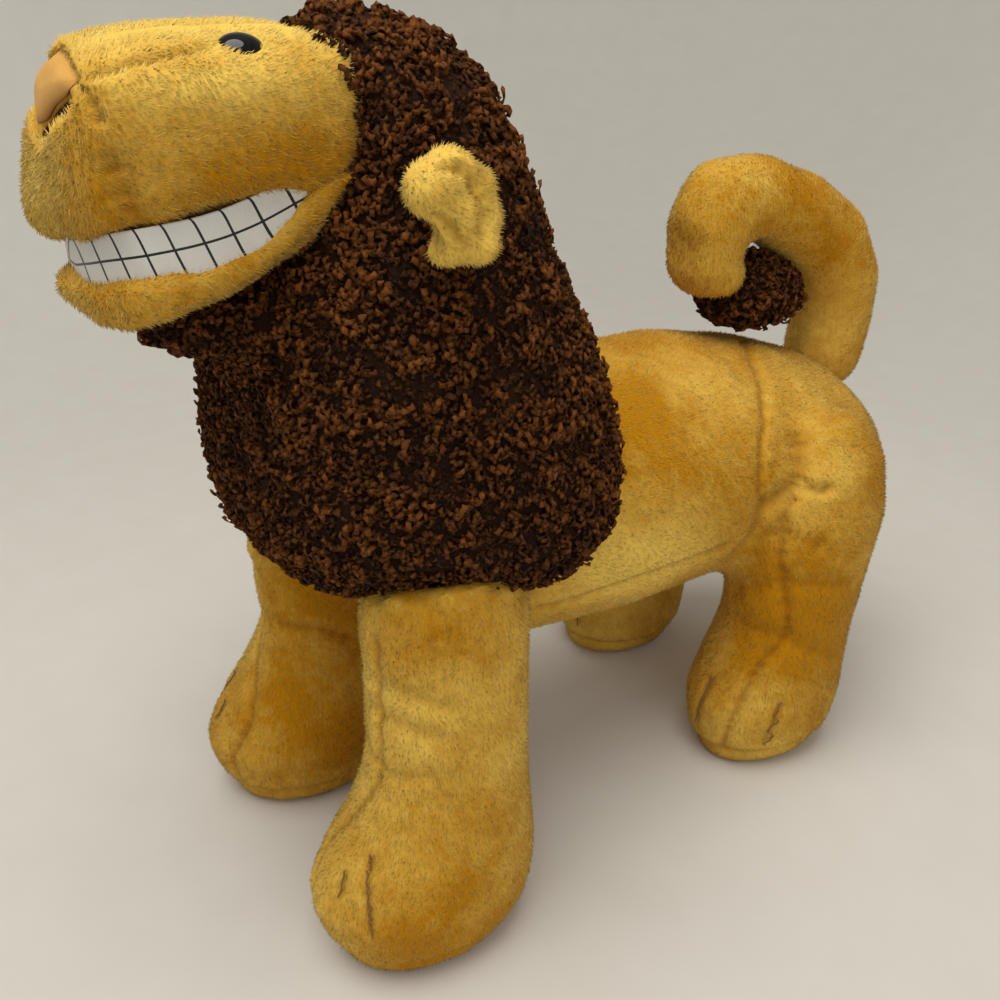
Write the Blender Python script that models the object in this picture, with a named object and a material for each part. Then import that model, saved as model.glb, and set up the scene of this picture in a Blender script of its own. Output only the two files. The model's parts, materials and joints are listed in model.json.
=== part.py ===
"""A standing plush lion, modelled as the covers, fillings and fittings that it is sewn from.

It faces -Y and stands on z = 0, with its left side at +X. All lengths are in metres. Each stuffed
form is a loft: rings of points around a spine, read from a smooth curve through a few stations.
"""

import math
from typing import NamedTuple

import bmesh
import bpy
import numpy as np
from mathutils import Matrix, Vector

# Fabrics and seams
PLUSH_FABRIC = 0.0045
CURLY_FABRIC = 0.009
LIP_FABRIC = 0.0035
TEETH_FABRIC = 0.0012
SEAM_GAP = 0.0004
CUT_OVERRUN = 0.012

# Stance: where the four paws stand
PAW_SPACING_ALONG = 0.226
PAW_SPACING_ACROSS = 0.128

# Front legs
FRONT_LEG_HEIGHT = 0.215
FRONT_LEG_HALF_ACROSS = 0.0340
FRONT_LEG_HALF_ALONG = 0.0365
FRONT_LEG_SETBACK = 0.013
FRONT_PAW_HALF_ACROSS = 0.0415
FRONT_PAW_HALF_ALONG = 0.0540

# Hind legs
HIND_LEG_HEIGHT = 0.205
HIND_LEG_HALF_ACROSS = 0.0345
HIND_LEG_HALF_ALONG = 0.0360
HIND_LEG_SETBACK = 0.007
HIND_PAW_HALF_ACROSS = 0.0385
HIND_PAW_HALF_ALONG = 0.0490
THIGH_HALF_ALONG = 0.0470
THIGH_SETBACK = 0.0100

# Soles, and how far the paws draw in to them
SOLE_THICKNESS = 0.005
PAW_DRAW_IN = 0.010
SOLE_EDGE = 0.0025

# Toe stitches: two stitched lines on each paw
TOE_THREAD_RADIUS = 0.0007
TOE_LINE_LOW = 0.010
TOE_LINE_HIGH = 0.050

# Barrel of the body, from inside the mane to the rump
BODY_FRONT = -0.095
BODY_LENGTH = 0.315
BODY_MIDDLE_HEIGHT = 0.1685
BODY_HALF_WIDTH = 0.073
BODY_HALF_HEIGHT = 0.0685
HAUNCH_SEAM_PLACE = 0.108
HAUNCH_SEAM_RADIUS = 0.095
BELLY_PANEL_HALF_WIDTH = 0.054

# Mane: the curly cover of the chest, the neck and the back of the head
MANE_BOTTOM = 0.168
MANE_HEIGHT = 0.221
MANE_PLACE = -0.083
MANE_HALF_WIDTH = 0.100
MANE_HALF_DEPTH = 0.074
BEARD_REAR = -0.112
BEARD_LENGTH = 0.076
BEARD_HALF_WIDTH = 0.046
BEARD_HALF_HEIGHT = 0.015
BEARD_HEIGHT = 0.286

# Face: the upper muzzle with the eyes on top of it
FACE_REAR = -0.098
FACE_LENGTH = 0.110
FACE_HEIGHT = 0.3505
FACE_HALF_WIDTH = 0.053
FACE_HALF_HEIGHT = 0.0320

# Mouth: the white block with the teeth on it, and the lower lip
MOUTH_REAR = -0.120
TEETH_INSET = 0.004
LIP_HALF_HEIGHT = 0.0090
LIP_SETBACK = 0.003
LIP_HEIGHT = 0.2970
LIP_HALF_WIDTH = 0.051

# Panels of the muzzle: the bridge along its top, and the short-pile nose at the bridge's front
BRIDGE_HALF_WIDTH = 0.027
BRIDGE_DEPTH = 0.018
NOSE_LENGTH = 0.012
NOSE_DEPTH = 0.030

# Eyes: a domed button with a post through the cover and a lock washer behind it
EYE_RADIUS = 0.0075
EYE_DOME_HEIGHT = 0.0052
EYE_POST_RADIUS = 0.0022
EYE_POST_LENGTH = 0.013
EYE_WASHER_RADIUS = 0.0078
EYE_WASHER_THICKNESS = 0.0016
EYE_HALF_SPACING = 0.040
EYE_PLACE = -0.150
EYE_SINK = 0.0015
EYE_CLAMP_DEPTH = -0.0030

# Ears
EAR_HEIGHT = 0.033
EAR_WIDTH = 0.042
EAR_HALF_THICKNESS = 0.0100
EAR_CUP = 0.011
EAR_PLACE = -0.104
EAR_ROOT_HEIGHT = 0.334
EAR_ROOT_LIFT = 0.0064
EAR_BASE_TILT = math.radians(35)
EAR_TURN = math.radians(4)

# Tail, a stuffed tube in one upright plane, with a curly tuft on its end
TAIL_ROOT_PLACE = 0.2030
TAIL_ROOT_HEIGHT = 0.2030
TAIL_HALF_WIDTH = 0.0225
TAIL_CURL_WIDTH = 0.100
TAIL_CURL_HEIGHT = 0.0955
TUFT_LENGTH = 0.050
TUFT_RADIUS = 0.0170

# Tables of shares, each chosen by hand
# Leg rows: height, paw, thigh, fullness
FRONT_LEG_SHARES = (
    (1.00, 0.00, 0.0, 0.96),
    (0.78, 0.00, 0.0, 1.00),
    (0.58, 0.00, 0.0, 1.00),
    (0.43, 0.08, 0.0, 1.00),
    (0.33, 0.36, 0.0, 1.00),
    (0.24, 0.76, 0.0, 1.00),
    (0.15, 1.00, 0.0, 1.00),
    (0.05, 0.92, 0.0, 0.94),
)
HIND_LEG_SHARES = (
    (1.00, 0.00, 0.90, 0.00),
    (0.97, 0.00, 0.92, 0.45),
    (0.87, 0.00, 1.00, 0.82),
    (0.72, 0.00, 0.85, 1.00),
    (0.53, 0.00, 0.42, 1.00),
    (0.39, 0.06, 0.15, 1.00),
    (0.28, 0.55, 0.05, 1.00),
    (0.17, 1.00, 0.00, 1.00),
    (0.05, 0.92, 0.00, 0.94),
)
# Body rows: place along, rise, half-width, half-height
BODY_SHARES = (
    (0.00, 0.00, 0.00, 0.00),
    (0.04, 0.00, 0.55, 0.55),
    (0.16, 0.00, 0.86, 0.90),
    (0.36, 0.00, 0.97, 1.00),
    (0.55, -0.01, 1.00, 1.00),
    (0.72, -0.13, 1.04, 0.96),
    (0.86, -0.24, 0.98, 0.84),
    (0.95, -0.32, 0.74, 0.62),
    (0.99, -0.36, 0.38, 0.32),
    (1.00, -0.38, 0.00, 0.00),
)
# Mane rows: height, shift forward, half-width, half-depth
MANE_SHARES = (
    (0.000, 0.10, 0.00, 0.00),
    (0.020, 0.06, 0.68, 0.64),
    (0.070, 0.02, 0.97, 0.94),
    (0.150, -0.02, 1.05, 1.04),
    (0.260, -0.02, 1.02, 1.04),
    (0.390, 0.00, 0.97, 0.98),
    (0.525, 0.05, 0.89, 0.86),
    (0.655, 0.06, 0.81, 0.70),
    (0.780, 0.06, 0.73, 0.54),
    (0.890, 0.12, 0.62, 0.46),
    (0.965, 0.20, 0.42, 0.33),
    (0.992, 0.22, 0.20, 0.16),
    (1.000, 0.22, 0.00, 0.00),
)
# Beard rows: place forward, rise, half-width, half-height
BEARD_SHARES = (
    (0.00, 0.20, 1.10, 1.40),
    (0.45, 0.10, 1.04, 1.20),
    (0.80, 0.10, 0.86, 0.90),
    (0.95, 0.20, 0.55, 0.55),
    (1.00, 0.25, 0.00, 0.00),
)
# Face rows: place forward, rise, half-width, half-height
FACE_SHARES = (
    (0.00, 0.00, 0.92, 0.95),
    (0.25, 0.00, 1.00, 1.00),
    (0.55, 0.00, 1.01, 1.00),
    (0.76, -0.02, 0.96, 0.98),
    (0.88, -0.10, 0.86, 0.90),
    (0.95, -0.30, 0.70, 0.70),
    (1.00, -0.50, 0.00, 0.00),
)
# Lip rows: place forward, rise, half-width, half-height
LIP_SHARES = (
    (0.00, 3.20, 0.97, 0.90),
    (0.28, 2.50, 1.00, 1.00),
    (0.54, 1.35, 1.00, 1.00),
    (0.78, 0.45, 0.95, 1.00),
    (0.91, 0.10, 0.80, 0.97),
    (0.98, 0.00, 0.48, 0.70),
    (1.00, 0.00, 0.00, 0.00),
)
# How far down the muzzle's lower half the block behind the teeth begins
TEETH_TOP_SHARE = 0.60
# Tail rows: place forward, height, half-width, along the curl from root to end
TAIL_SHARES = (
    (0.00, 0.00, 1.00),
    (-0.03, 0.22, 1.02),
    (-0.01, 0.46, 1.08),
    (0.145, 0.70, 1.07),
    (0.425, 0.875, 1.04),
    (0.705, 0.963, 0.98),
    (0.925, 0.953, 0.95),
    (1.053, 0.827, 0.92),
    (1.070, 0.660, 0.89),
    (1.000, 0.539, 0.86),
)
# The rounded root of the tail and of each ear: depth below its centre, half-width
ROOT_SHARES = (
    (0.45, 0.89),
    (0.80, 0.60),
    (1.00, 0.00),
)
# Tuft rows: place along, half-width
TUFT_SHARES = (
    (0.00, 0.80),
    (0.20, 0.98),
    (0.50, 1.00),
    (0.82, 0.72),
    (0.96, 0.36),
    (1.00, 0.00),
)
TUFT_TURN = math.radians(44)
# Ear rows: place up the ear, half-width, half-thickness
EAR_SHARES = (
    (0.00, 0.74, 0.76),
    (0.24, 0.86, 0.84),
    (0.50, 1.00, 1.00),
    (0.75, 0.86, 1.00),
    (0.92, 0.56, 0.80),
    (1.00, 0.00, 0.00),
)

# How finely the forms are faceted
STATIONS_PER_ROW, FINE_STATIONS_PER_ROW = 1, 2
MANE_SIDES, BODY_SIDES, LIMB_SIDES, EAR_SIDES, SMALL_SIDES = 24, 20, 16, 12, 12
BALL_SIDES, ARCH_STEPS = 24, 16
ROUND, FULL, BOXY, SQUARE = 2.0, 2.7, 3.4, 12.0

LEFT, RIGHT = 1, -1
ACROSS = Vector((1, 0, 0))
FORWARD = Vector((0, -1, 0))
UP = Vector((0, 0, 1))

COLOURS = {
    "golden_plush": (0.56, 0.29, 0.035, 1.0),
    "brown_curls": (0.085, 0.033, 0.012, 1.0),
    "white_filling": (0.80, 0.80, 0.78, 1.0),
    "teeth_white": (0.75, 0.74, 0.70, 1.0),
    "nose_plush": (0.62, 0.31, 0.075, 1.0),
    "black_plastic": (0.006, 0.006, 0.007, 1.0),
    "washer_plastic": (0.70, 0.70, 0.68, 1.0),
    "brown_thread": (0.12, 0.055, 0.015, 1.0),
}
ROUGHNESS = {"black_plastic": 0.12, "teeth_white": 0.45, "washer_plastic": 0.4}
FABRIC_ROUGHNESS = 0.9


def clear_scene():
    for obj in list(bpy.data.objects):
        bpy.data.objects.remove(obj)


def material(name):
    found = bpy.data.materials.get(name)
    if found:
        return found
    made = bpy.data.materials.new(name)
    made.use_nodes = True
    shader = made.node_tree.nodes["Principled BSDF"]
    shader.inputs["Base Color"].default_value = COLOURS[name]
    shader.inputs["Roughness"].default_value = ROUGHNESS.get(name, FABRIC_ROUGHNESS)
    shader.inputs["Metallic"].default_value = 0.0
    return made


def object_from(bm, name, finish, smooth=True):
    bmesh.ops.recalc_face_normals(bm, faces=bm.faces)
    mesh = bpy.data.meshes.new(name)
    bm.to_mesh(mesh)
    bm.free()
    if smooth:
        mesh.shade_smooth()
    obj = bpy.data.objects.new(name, mesh)
    bpy.context.scene.collection.objects.link(obj)
    if finish:
        mesh.materials.append(material(finish))
    return obj


def as_cutter(obj):
    obj.hide_render = True
    obj.display_type = "WIRE"
    return obj


def combine(obj, other, operation):
    modifier = obj.modifiers.new(f"{operation.lower()}_{other.name}", "BOOLEAN")
    modifier.object = other
    modifier.operation = operation
    modifier.solver = "EXACT"
    return obj


def cut(obj, *cutters):
    for cutter in cutters:
        combine(obj, cutter, "DIFFERENCE")
    return obj


# A station is (x, y, z, half-width, half-depth). A stuffed form runs from its first to its last.


class Form(NamedTuple):
    stations: np.ndarray
    fabric: float
    sides: int
    squareness: float = ROUND
    deep: Vector | None = None  # the rings' second axis, or None where it turns with the spine


def smooth_stations(rows, per_span=STATIONS_PER_ROW):
    """Stations read from a Catmull-Rom curve. Widths go by their squares, which rounds the ends."""
    rows = np.array(rows, float)
    rows[:, 3:] **= 2
    rows = np.vstack([2 * rows[0] - rows[1], rows, 2 * rows[-1] - rows[-2]])
    out = []
    for a, b, c, d in zip(rows, rows[1:], rows[2:], rows[3:]):
        for t in np.arange(per_span) / per_span:
            bend = (2 * a - 5 * b + 4 * c - d) * t**2 + (3 * b - a - 3 * c + d) * t**3
            out.append(b + ((c - a) * t + bend) / 2)
    out = np.array([*out, rows[-2]])
    out[:, 3:] = np.sqrt(np.clip(out[:, 3:], 0, None))
    return out


def offset(stations, by):
    """Stations of the skin `by` outside these, or inside if negative, but not short of an open end."""
    steps = np.linalg.norm(np.diff(stations[:, :3], axis=0), axis=1)
    places = np.concatenate([[0.0], np.cumsum(steps)])
    tangents = np.gradient(stations[:, :3], places, axis=0)
    slopes = np.gradient(stations[:, 3:].mean(axis=1), places)
    shares = 1 / np.hypot(1, slopes)
    shifts = -by * slopes * shares
    closed = stations[[0, -1], 3] == 0
    shifts[[0, -1]] = np.where(closed, by, max(by, 0.0)) * (-1, 1)
    rows = stations.copy()
    rows[:, :3] += tangents * shifts[:, None]
    rows[:, 3:] += by * shares[:, None]
    rows[[0, -1], 3:] *= ~closed[:, None]
    places += shifts
    margin = abs(by) / 4
    kept = (places > places[0] + margin) & (places < places[-1] - margin) & (rows[:, 3:].min(axis=1) > 0)
    kept[[0, -1]] = True
    return rows[kept]


def lengthened(stations):
    """The same stations with a straight run added at each open end, for a cut that goes right through."""
    rows = list(stations)
    for _ in range(2):
        rows.reverse()
        edge, inner = rows[-1], rows[-2]
        if edge[3] > 0:
            extra = edge.copy()
            extra[:3] += (edge[:3] - inner[:3]) / np.linalg.norm(edge[:3] - inner[:3]) * CUT_OVERRUN
            rows.append(extra)
    return np.array(rows)


def around(angle, squareness):
    """The point of a unit ring at an angle, from round to nearly square."""
    c, s = math.cos(angle), math.sin(angle)
    power = 2 / squareness
    return math.copysign(abs(c) ** power, c), math.copysign(abs(s) ** power, s)


def ring_points(station, deep, form):
    x, y, z, half_width, half_depth = station
    for i in range(form.sides):
        across, depth = around(2 * math.pi * i / form.sides, form.squareness)
        yield Vector((x, y, z)) + ACROSS * across * half_width + deep * depth * half_depth


def skin(name, finish, form, by=0.0, through=False):
    """A closed skin over the form's rings, moved outwards by `by`."""
    stations = offset(form.stations, by) if by else form.stations
    if through:
        stations = lengthened(stations)
    tangents = np.gradient(stations[:, :3], axis=0)
    bm = bmesh.new()
    rings = []
    for station, tangent in zip(stations, tangents):
        if station[3] == 0:
            rings.append([bm.verts.new(station[:3])])
            continue
        deep = form.deep or Vector((0, -tangent[2], tangent[1])).normalized()
        rings.append([bm.verts.new(point) for point in ring_points(station, deep, form)])
    for a, b in zip(rings, rings[1:]):
        for i in range(form.sides):
            j = (i + 1) % form.sides
            near, far = (a[i % len(a)], a[j % len(a)]), (b[i % len(b)], b[j % len(b)])
            for corners in ((*near, far[1]), (near[0], *far)):
                if len(set(corners)) == len(corners):
                    bm.faces.new(corners)
    for end in (rings[0], rings[-1]):
        if len(end) > 1:
            bm.faces.new(end)
    return object_from(bm, name, finish)


def turned(name, finish, profile, sides=SMALL_SIDES):
    """A solid turned about Z from (radius, height) points that start and end on the axis."""
    bm = bmesh.new()
    rings = []
    for radius, height in profile:
        if radius == 0:
            rings.append([bm.verts.new((0, 0, height))])
            continue
        angles = [2 * math.pi * i / sides for i in range(sides)]
        rings.append([bm.verts.new((radius * math.cos(a), radius * math.sin(a), height)) for a in angles])
    for a, b in zip(rings, rings[1:]):
        for i in range(sides):
            j = (i + 1) % sides
            corners = [a[i % len(a)], a[j % len(a)], b[j % len(b)], b[i % len(b)]]
            bm.faces.new(dict.fromkeys(corners))
    return object_from(bm, name, finish)


def box(name, low, high):
    bm = bmesh.new()
    bmesh.ops.create_cube(bm, size=1.0)
    size = Vector(high) - Vector(low)
    bmesh.ops.scale(bm, vec=size, verts=bm.verts)
    bmesh.ops.translate(bm, vec=(Vector(high) + Vector(low)) / 2, verts=bm.verts)
    return as_cutter(object_from(bm, name, None, smooth=False))


def prism(name, outline, bottom, top):
    bm = bmesh.new()
    face = bm.faces.new([bm.verts.new((x, y, bottom)) for x, y in outline])
    grown = bmesh.ops.extrude_face_region(bm, geom=[face])["geom"]
    raised = [item for item in grown if isinstance(item, bmesh.types.BMVert)]
    bmesh.ops.translate(bm, vec=UP * (top - bottom), verts=raised)
    return as_cutter(object_from(bm, name, None, smooth=False))


def ball(name, half_sizes):
    """A cutter for a rounded root to turn in. Its facets lie outside the true ball."""
    bm = bmesh.new()
    allowance = 1 / math.cos(math.pi / BALL_SIDES) ** 2
    bmesh.ops.create_uvsphere(bm, u_segments=BALL_SIDES, v_segments=BALL_SIDES // 2, radius=allowance)
    bmesh.ops.scale(bm, vec=half_sizes, verts=bm.verts)
    return as_cutter(object_from(bm, name, None))


def moved(obj, matrix):
    """The object with its mesh moved. A mirrored mesh is turned right side out again."""
    obj.data.transform(matrix)
    if matrix.determinant() < 0:
        obj.data.flip_normals()
    obj.data.update()
    return obj


# Stations of each stuffed form


def between(a, b, share):
    return a + (b - a) * share


def leg_form(side, front):
    """Rows from the leg's hidden top down to its sole."""
    if front:
        table, height, setback = FRONT_LEG_SHARES, FRONT_LEG_HEIGHT, FRONT_LEG_SETBACK
        slim = (FRONT_LEG_HALF_ACROSS, FRONT_LEG_HALF_ALONG)
        thigh_along, thigh_setback = FRONT_LEG_HALF_ALONG, 0.0
        paw = (FRONT_PAW_HALF_ACROSS, FRONT_PAW_HALF_ALONG)
    else:
        table, height, setback = HIND_LEG_SHARES, HIND_LEG_HEIGHT, HIND_LEG_SETBACK
        slim = (HIND_LEG_HALF_ACROSS, HIND_LEG_HALF_ALONG)
        thigh_along, thigh_setback = THIGH_HALF_ALONG, THIGH_SETBACK
        paw = (HIND_PAW_HALF_ACROSS, HIND_PAW_HALF_ALONG)
    place = PAW_SPACING_ALONG / 2 * (-1 if front else 1)
    floor = SOLE_THICKNESS + SEAM_GAP
    rows = []
    for high, paw_share, thigh, full in table:
        across = between(slim[0], paw[0], paw_share) * full
        along = between(between(slim[1], thigh_along, thigh), paw[1], paw_share) * full
        y = place + setback * (1 - paw_share) + thigh_setback * thigh
        rows.append((side * PAW_SPACING_ACROSS / 2, y, between(floor, height, high), across, along))
    x, y = rows[-1][:2]
    rows.append((x, y, floor, paw[0] - PAW_DRAW_IN, paw[1] - PAW_DRAW_IN))
    return Form(smooth_stations(rows), PLUSH_FABRIC, LIMB_SIDES, deep=FORWARD)


def forward_rows(table, rear, length, height, half_width, half_height):
    """Rows of a form whose spine runs forward from `rear`."""
    return [
        (0.0, rear - along * length, height + rise * half_height, wide * half_width, high * half_height)
        for along, rise, wide, high in table
    ]


def body_form():
    rows = forward_rows(
        BODY_SHARES, BODY_FRONT, -BODY_LENGTH, BODY_MIDDLE_HEIGHT, BODY_HALF_WIDTH, BODY_HALF_HEIGHT
    )
    return Form(smooth_stations(rows), PLUSH_FABRIC, BODY_SIDES, deep=UP)


def mane_form():
    rows = [
        (
            0.0,
            MANE_PLACE - shift * MANE_HALF_DEPTH,
            MANE_BOTTOM + high * MANE_HEIGHT,
            wide * MANE_HALF_WIDTH,
            deep * MANE_HALF_DEPTH,
        )
        for high, shift, wide, deep in MANE_SHARES
    ]
    return Form(smooth_stations(rows), CURLY_FABRIC, MANE_SIDES, FULL, FORWARD)


def beard_form():
    rows = forward_rows(
        BEARD_SHARES, BEARD_REAR, BEARD_LENGTH, BEARD_HEIGHT, BEARD_HALF_WIDTH, BEARD_HALF_HEIGHT
    )
    return Form(smooth_stations(rows), CURLY_FABRIC, SMALL_SIDES, deep=UP)


def face_form():
    rows = forward_rows(FACE_SHARES, FACE_REAR, FACE_LENGTH, FACE_HEIGHT, FACE_HALF_WIDTH, FACE_HALF_HEIGHT)
    return Form(smooth_stations(rows, FINE_STATIONS_PER_ROW), PLUSH_FABRIC, BODY_SIDES, BOXY, UP)


def mouth_length():
    return MOUTH_REAR - (FACE_REAR - FACE_LENGTH)


def lip_form():
    length = mouth_length() - LIP_SETBACK
    rows = forward_rows(LIP_SHARES, MOUTH_REAR, length, LIP_HEIGHT, LIP_HALF_WIDTH, LIP_HALF_HEIGHT)
    return Form(smooth_stations(rows), LIP_FABRIC, BODY_SIDES, BOXY, UP)


def mouth_form():
    """The block behind the teeth, from inside the lower lip up into the muzzle, and inset from the lip."""
    top = FACE_HEIGHT - FACE_HALF_HEIGHT * TEETH_TOP_SHARE
    rows = lip_form().stations.copy()
    rows[:, 1] = MOUTH_REAR + (rows[:, 1] - MOUTH_REAR) * (1 - TEETH_INSET / mouth_length())
    rows[:-1, 3] -= TEETH_INSET
    rows[:-1, 4] = (top - rows[:-1, 2]) / 2
    rows[:, 2] = (top + rows[:, 2]) / 2
    return Form(rows, TEETH_FABRIC, BODY_SIDES, SQUARE, UP)


def tail_form():
    rows = []
    for forward, high, wide in TAIL_SHARES:
        y = TAIL_ROOT_PLACE - forward * TAIL_CURL_WIDTH
        z = TAIL_ROOT_HEIGHT + high * TAIL_CURL_HEIGHT
        rows.append((0.0, y, z, wide * TAIL_HALF_WIDTH, wide * TAIL_HALF_WIDTH))
    for low, wide in ROOT_SHARES:
        z = TAIL_ROOT_HEIGHT - low * TAIL_HALF_WIDTH
        rows.insert(0, (0.0, TAIL_ROOT_PLACE, z, wide * TAIL_HALF_WIDTH, wide * TAIL_HALF_WIDTH))
    return Form(smooth_stations(rows), PLUSH_FABRIC, LIMB_SIDES)


def tuft_form():
    """The tuft goes on from the tail's end, turned a little from the way the tail runs there."""
    before, end = tail_form().stations[-2:, :3]
    along = Matrix.Rotation(TUFT_TURN, 3, "X") @ Vector(end - before).normalized()
    start = Vector(end) + along * SEAM_GAP
    rows = [
        (*(start + along * share * TUFT_LENGTH), wide * TUFT_RADIUS, wide * TUFT_RADIUS)
        for share, wide in TUFT_SHARES
    ]
    return Form(smooth_stations(rows), CURLY_FABRIC, LIMB_SIDES)


# Covers, panels and fillings


def clear_of(name, form):
    """A cutter that leaves a seam's gap round a form."""
    return as_cutter(skin(f"{name}_clearance", None, form, SEAM_GAP))


def cavity_of(name, form):
    return as_cutter(skin(f"{name}_cavity", None, form, -form.fabric, through=True))


def filling(name, form, *cutters):
    """The stuffing of a form: its cavity, drawn in by a seam's gap."""
    room = form._replace(stations=offset(form.stations, -form.fabric))
    return cut(skin(name, "white_filling", room, -SEAM_GAP), *cutters)


def surface_across(form, height, place):
    """How far across from the middle an upright form's skin lies, at a height and a place along."""
    row = np.array([np.interp(height, form.stations[:, 2], form.stations[:, i]) for i in range(5)])
    share = abs(place - row[1]) / row[4]
    return row[3] * (1 - share**form.squareness) ** (1 / form.squareness)


def surface_above(form, across, place):
    """The point and outward direction of a forward-running form's skin, above `across` at a place along."""
    rows = form.stations[::-1]
    y, z, half_width, half_height = (np.interp(place, rows[:, 1], rows[:, i]) for i in range(1, 5))
    share = abs(across) / half_width
    rise = (1 - share**form.squareness) ** (1 / form.squareness)
    point = Vector((across, y, z + rise * half_height))
    power = form.squareness - 1
    slope = Vector((math.copysign(share**power / half_width, across), 0, rise**power / half_height))
    return point, slope.normalized()


def make_mane(mane, beard, body_cavity, face_cavity, ear_grooves):
    cover = skin("mane_cover", "brown_curls", mane)
    combine(cover, as_cutter(skin("beard_part", None, beard)), "UNION")
    return cut(cover, cavity_of("mane", mane), body_cavity, face_cavity, *ear_grooves)


def barrel_cutter(name, by):
    """An upright arch in plan: the body's cover inside it is the barrel, and outside it the hindquarters."""
    radius = HAUNCH_SEAM_RADIUS + by
    middle = HAUNCH_SEAM_PLACE - HAUNCH_SEAM_RADIUS
    angles = [math.pi * i / ARCH_STEPS for i in range(ARCH_STEPS + 1)]
    outline = [(radius * math.cos(angle), middle + radius * math.sin(angle)) for angle in angles]
    outline += [(-radius, BODY_FRONT - CUT_OVERRUN), (radius, BODY_FRONT - CUT_OVERRUN)]
    bottom = BODY_MIDDLE_HEIGHT - BODY_HALF_HEIGHT - CUT_OVERRUN
    top = BODY_MIDDLE_HEIGHT + BODY_HALF_HEIGHT + CUT_OVERRUN
    return prism(name, outline, bottom, top)


def belly_cutter(name, by):
    half = BELLY_PANEL_HALF_WIDTH + by
    bottom = BODY_MIDDLE_HEIGHT - BODY_HALF_HEIGHT - CUT_OVERRUN
    return box(name, (-half, BODY_FRONT, bottom), (half, HAUNCH_SEAM_PLACE + CUT_OVERRUN, BODY_MIDDLE_HEIGHT))


def make_body(body, body_cavity, mane_clearances, tail_dimple):
    barrel = barrel_cutter("barrel_region", 0.0)
    barrel_clearance = barrel_cutter("barrel_clearance", SEAM_GAP)
    belly = belly_cutter("belly_region", 0.0)
    belly_clearance = belly_cutter("belly_clearance", SEAM_GAP)
    torso = cut(skin("torso_cover", "golden_plush", body), body_cavity, *mane_clearances)
    combine(torso, barrel, "INTERSECT")
    cut(torso, belly_clearance)
    panel = cut(skin("belly_panel", "golden_plush", body), body_cavity, *mane_clearances)
    combine(panel, barrel, "INTERSECT")
    combine(panel, belly, "INTERSECT")
    rump = cut(skin("hindquarters_cover", "golden_plush", body), body_cavity)
    cut(rump, barrel_clearance, tail_dimple)


def make_leg(name, form, larger):
    cover = skin(f"{name}_cover", "golden_plush", form)
    cut(cover, cavity_of(name, form), *larger)
    filling(f"{name}_filling", form, *larger)
    make_sole(f"{name}_sole", form)
    make_toe_stitches(name, form)


def make_sole(name, form):
    x, y, _, across, along = form.stations[-1]
    rows = [
        (x, y, SOLE_THICKNESS, across, along),
        (x, y, SOLE_THICKNESS / 2, across, along),
        (x, y, 0.0, across - SOLE_EDGE, along - SOLE_EDGE),
    ]
    skin(name, "golden_plush", form._replace(stations=np.array(rows)))


def make_toe_stitches(name, form):
    """Two threads up the front of the paw, each one corner of the ring away from its middle."""
    front = form.sides // 4
    rows = [row for row in form.stations if TOE_LINE_LOW <= row[2] <= TOE_LINE_HIGH]
    for label, column in (("inner", front - 1), ("outer", front + 1)):
        corner = column if form.stations[0, 0] < 0 else form.sides // 2 - column
        points = []
        for row in rows:
            widened = row.copy()
            widened[3:] += TOE_THREAD_RADIUS + SEAM_GAP
            points.append(list(ring_points(widened, FORWARD, form))[corner])
        make_thread(f"{name}_toe_stitch_{label}", points)


def make_thread(name, points):
    curve = bpy.data.curves.new(name, "CURVE")
    curve.dimensions = "3D"
    curve.bevel_depth = TOE_THREAD_RADIUS
    curve.bevel_resolution = 1
    curve.use_fill_caps = True
    spline = curve.splines.new("POLY")
    spline.points.add(len(points) - 1)
    for point, place in zip(spline.points, points):
        point.co = (*place, 1)
    curve.materials.append(material("brown_thread"))
    bpy.context.scene.collection.objects.link(bpy.data.objects.new(name, curve))


# Face and mouth


def bridge_box(name, by):
    """The region of the bridge panel, along the top of the muzzle behind the nose."""
    top = FACE_HEIGHT + FACE_HALF_HEIGHT
    half = BRIDGE_HALF_WIDTH + by
    front = FACE_REAR - FACE_LENGTH + NOSE_LENGTH - by
    low = (-half, front, top - BRIDGE_DEPTH - by)
    return box(name, low, (half, FACE_REAR + CUT_OVERRUN, top + CUT_OVERRUN))


def nose_box(name, by):
    """The region of the nose panel, in front of the bridge."""
    top = FACE_HEIGHT + FACE_HALF_HEIGHT
    half = BRIDGE_HALF_WIDTH + by
    front = FACE_REAR - FACE_LENGTH
    return box(
        name,
        (-half, front - CUT_OVERRUN, top - NOSE_DEPTH - by),
        (half, front + NOSE_LENGTH - SEAM_GAP + by, top + CUT_OVERRUN),
    )


def make_face(face, face_cavity, mane_clearances, mane_cavity, eye_seats, eye_rooms):
    nose, nose_clearance = nose_box("nose_region", 0.0), nose_box("nose_clearance", SEAM_GAP)
    bridge, bridge_clearance = bridge_box("bridge_region", 0.0), bridge_box("bridge_clearance", SEAM_GAP)
    cheeks = cut(skin("face_cover", "golden_plush", face), face_cavity, *mane_clearances)
    cut(cheeks, nose_clearance, bridge_clearance, *eye_seats)
    panel = cut(skin("bridge_panel", "golden_plush", face), face_cavity, *mane_clearances)
    combine(panel, bridge, "INTERSECT")
    patch = cut(skin("nose_panel", "nose_plush", face), face_cavity)
    combine(patch, nose, "INTERSECT")
    filling("head_filling", face, mane_cavity, *eye_rooms)


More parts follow.
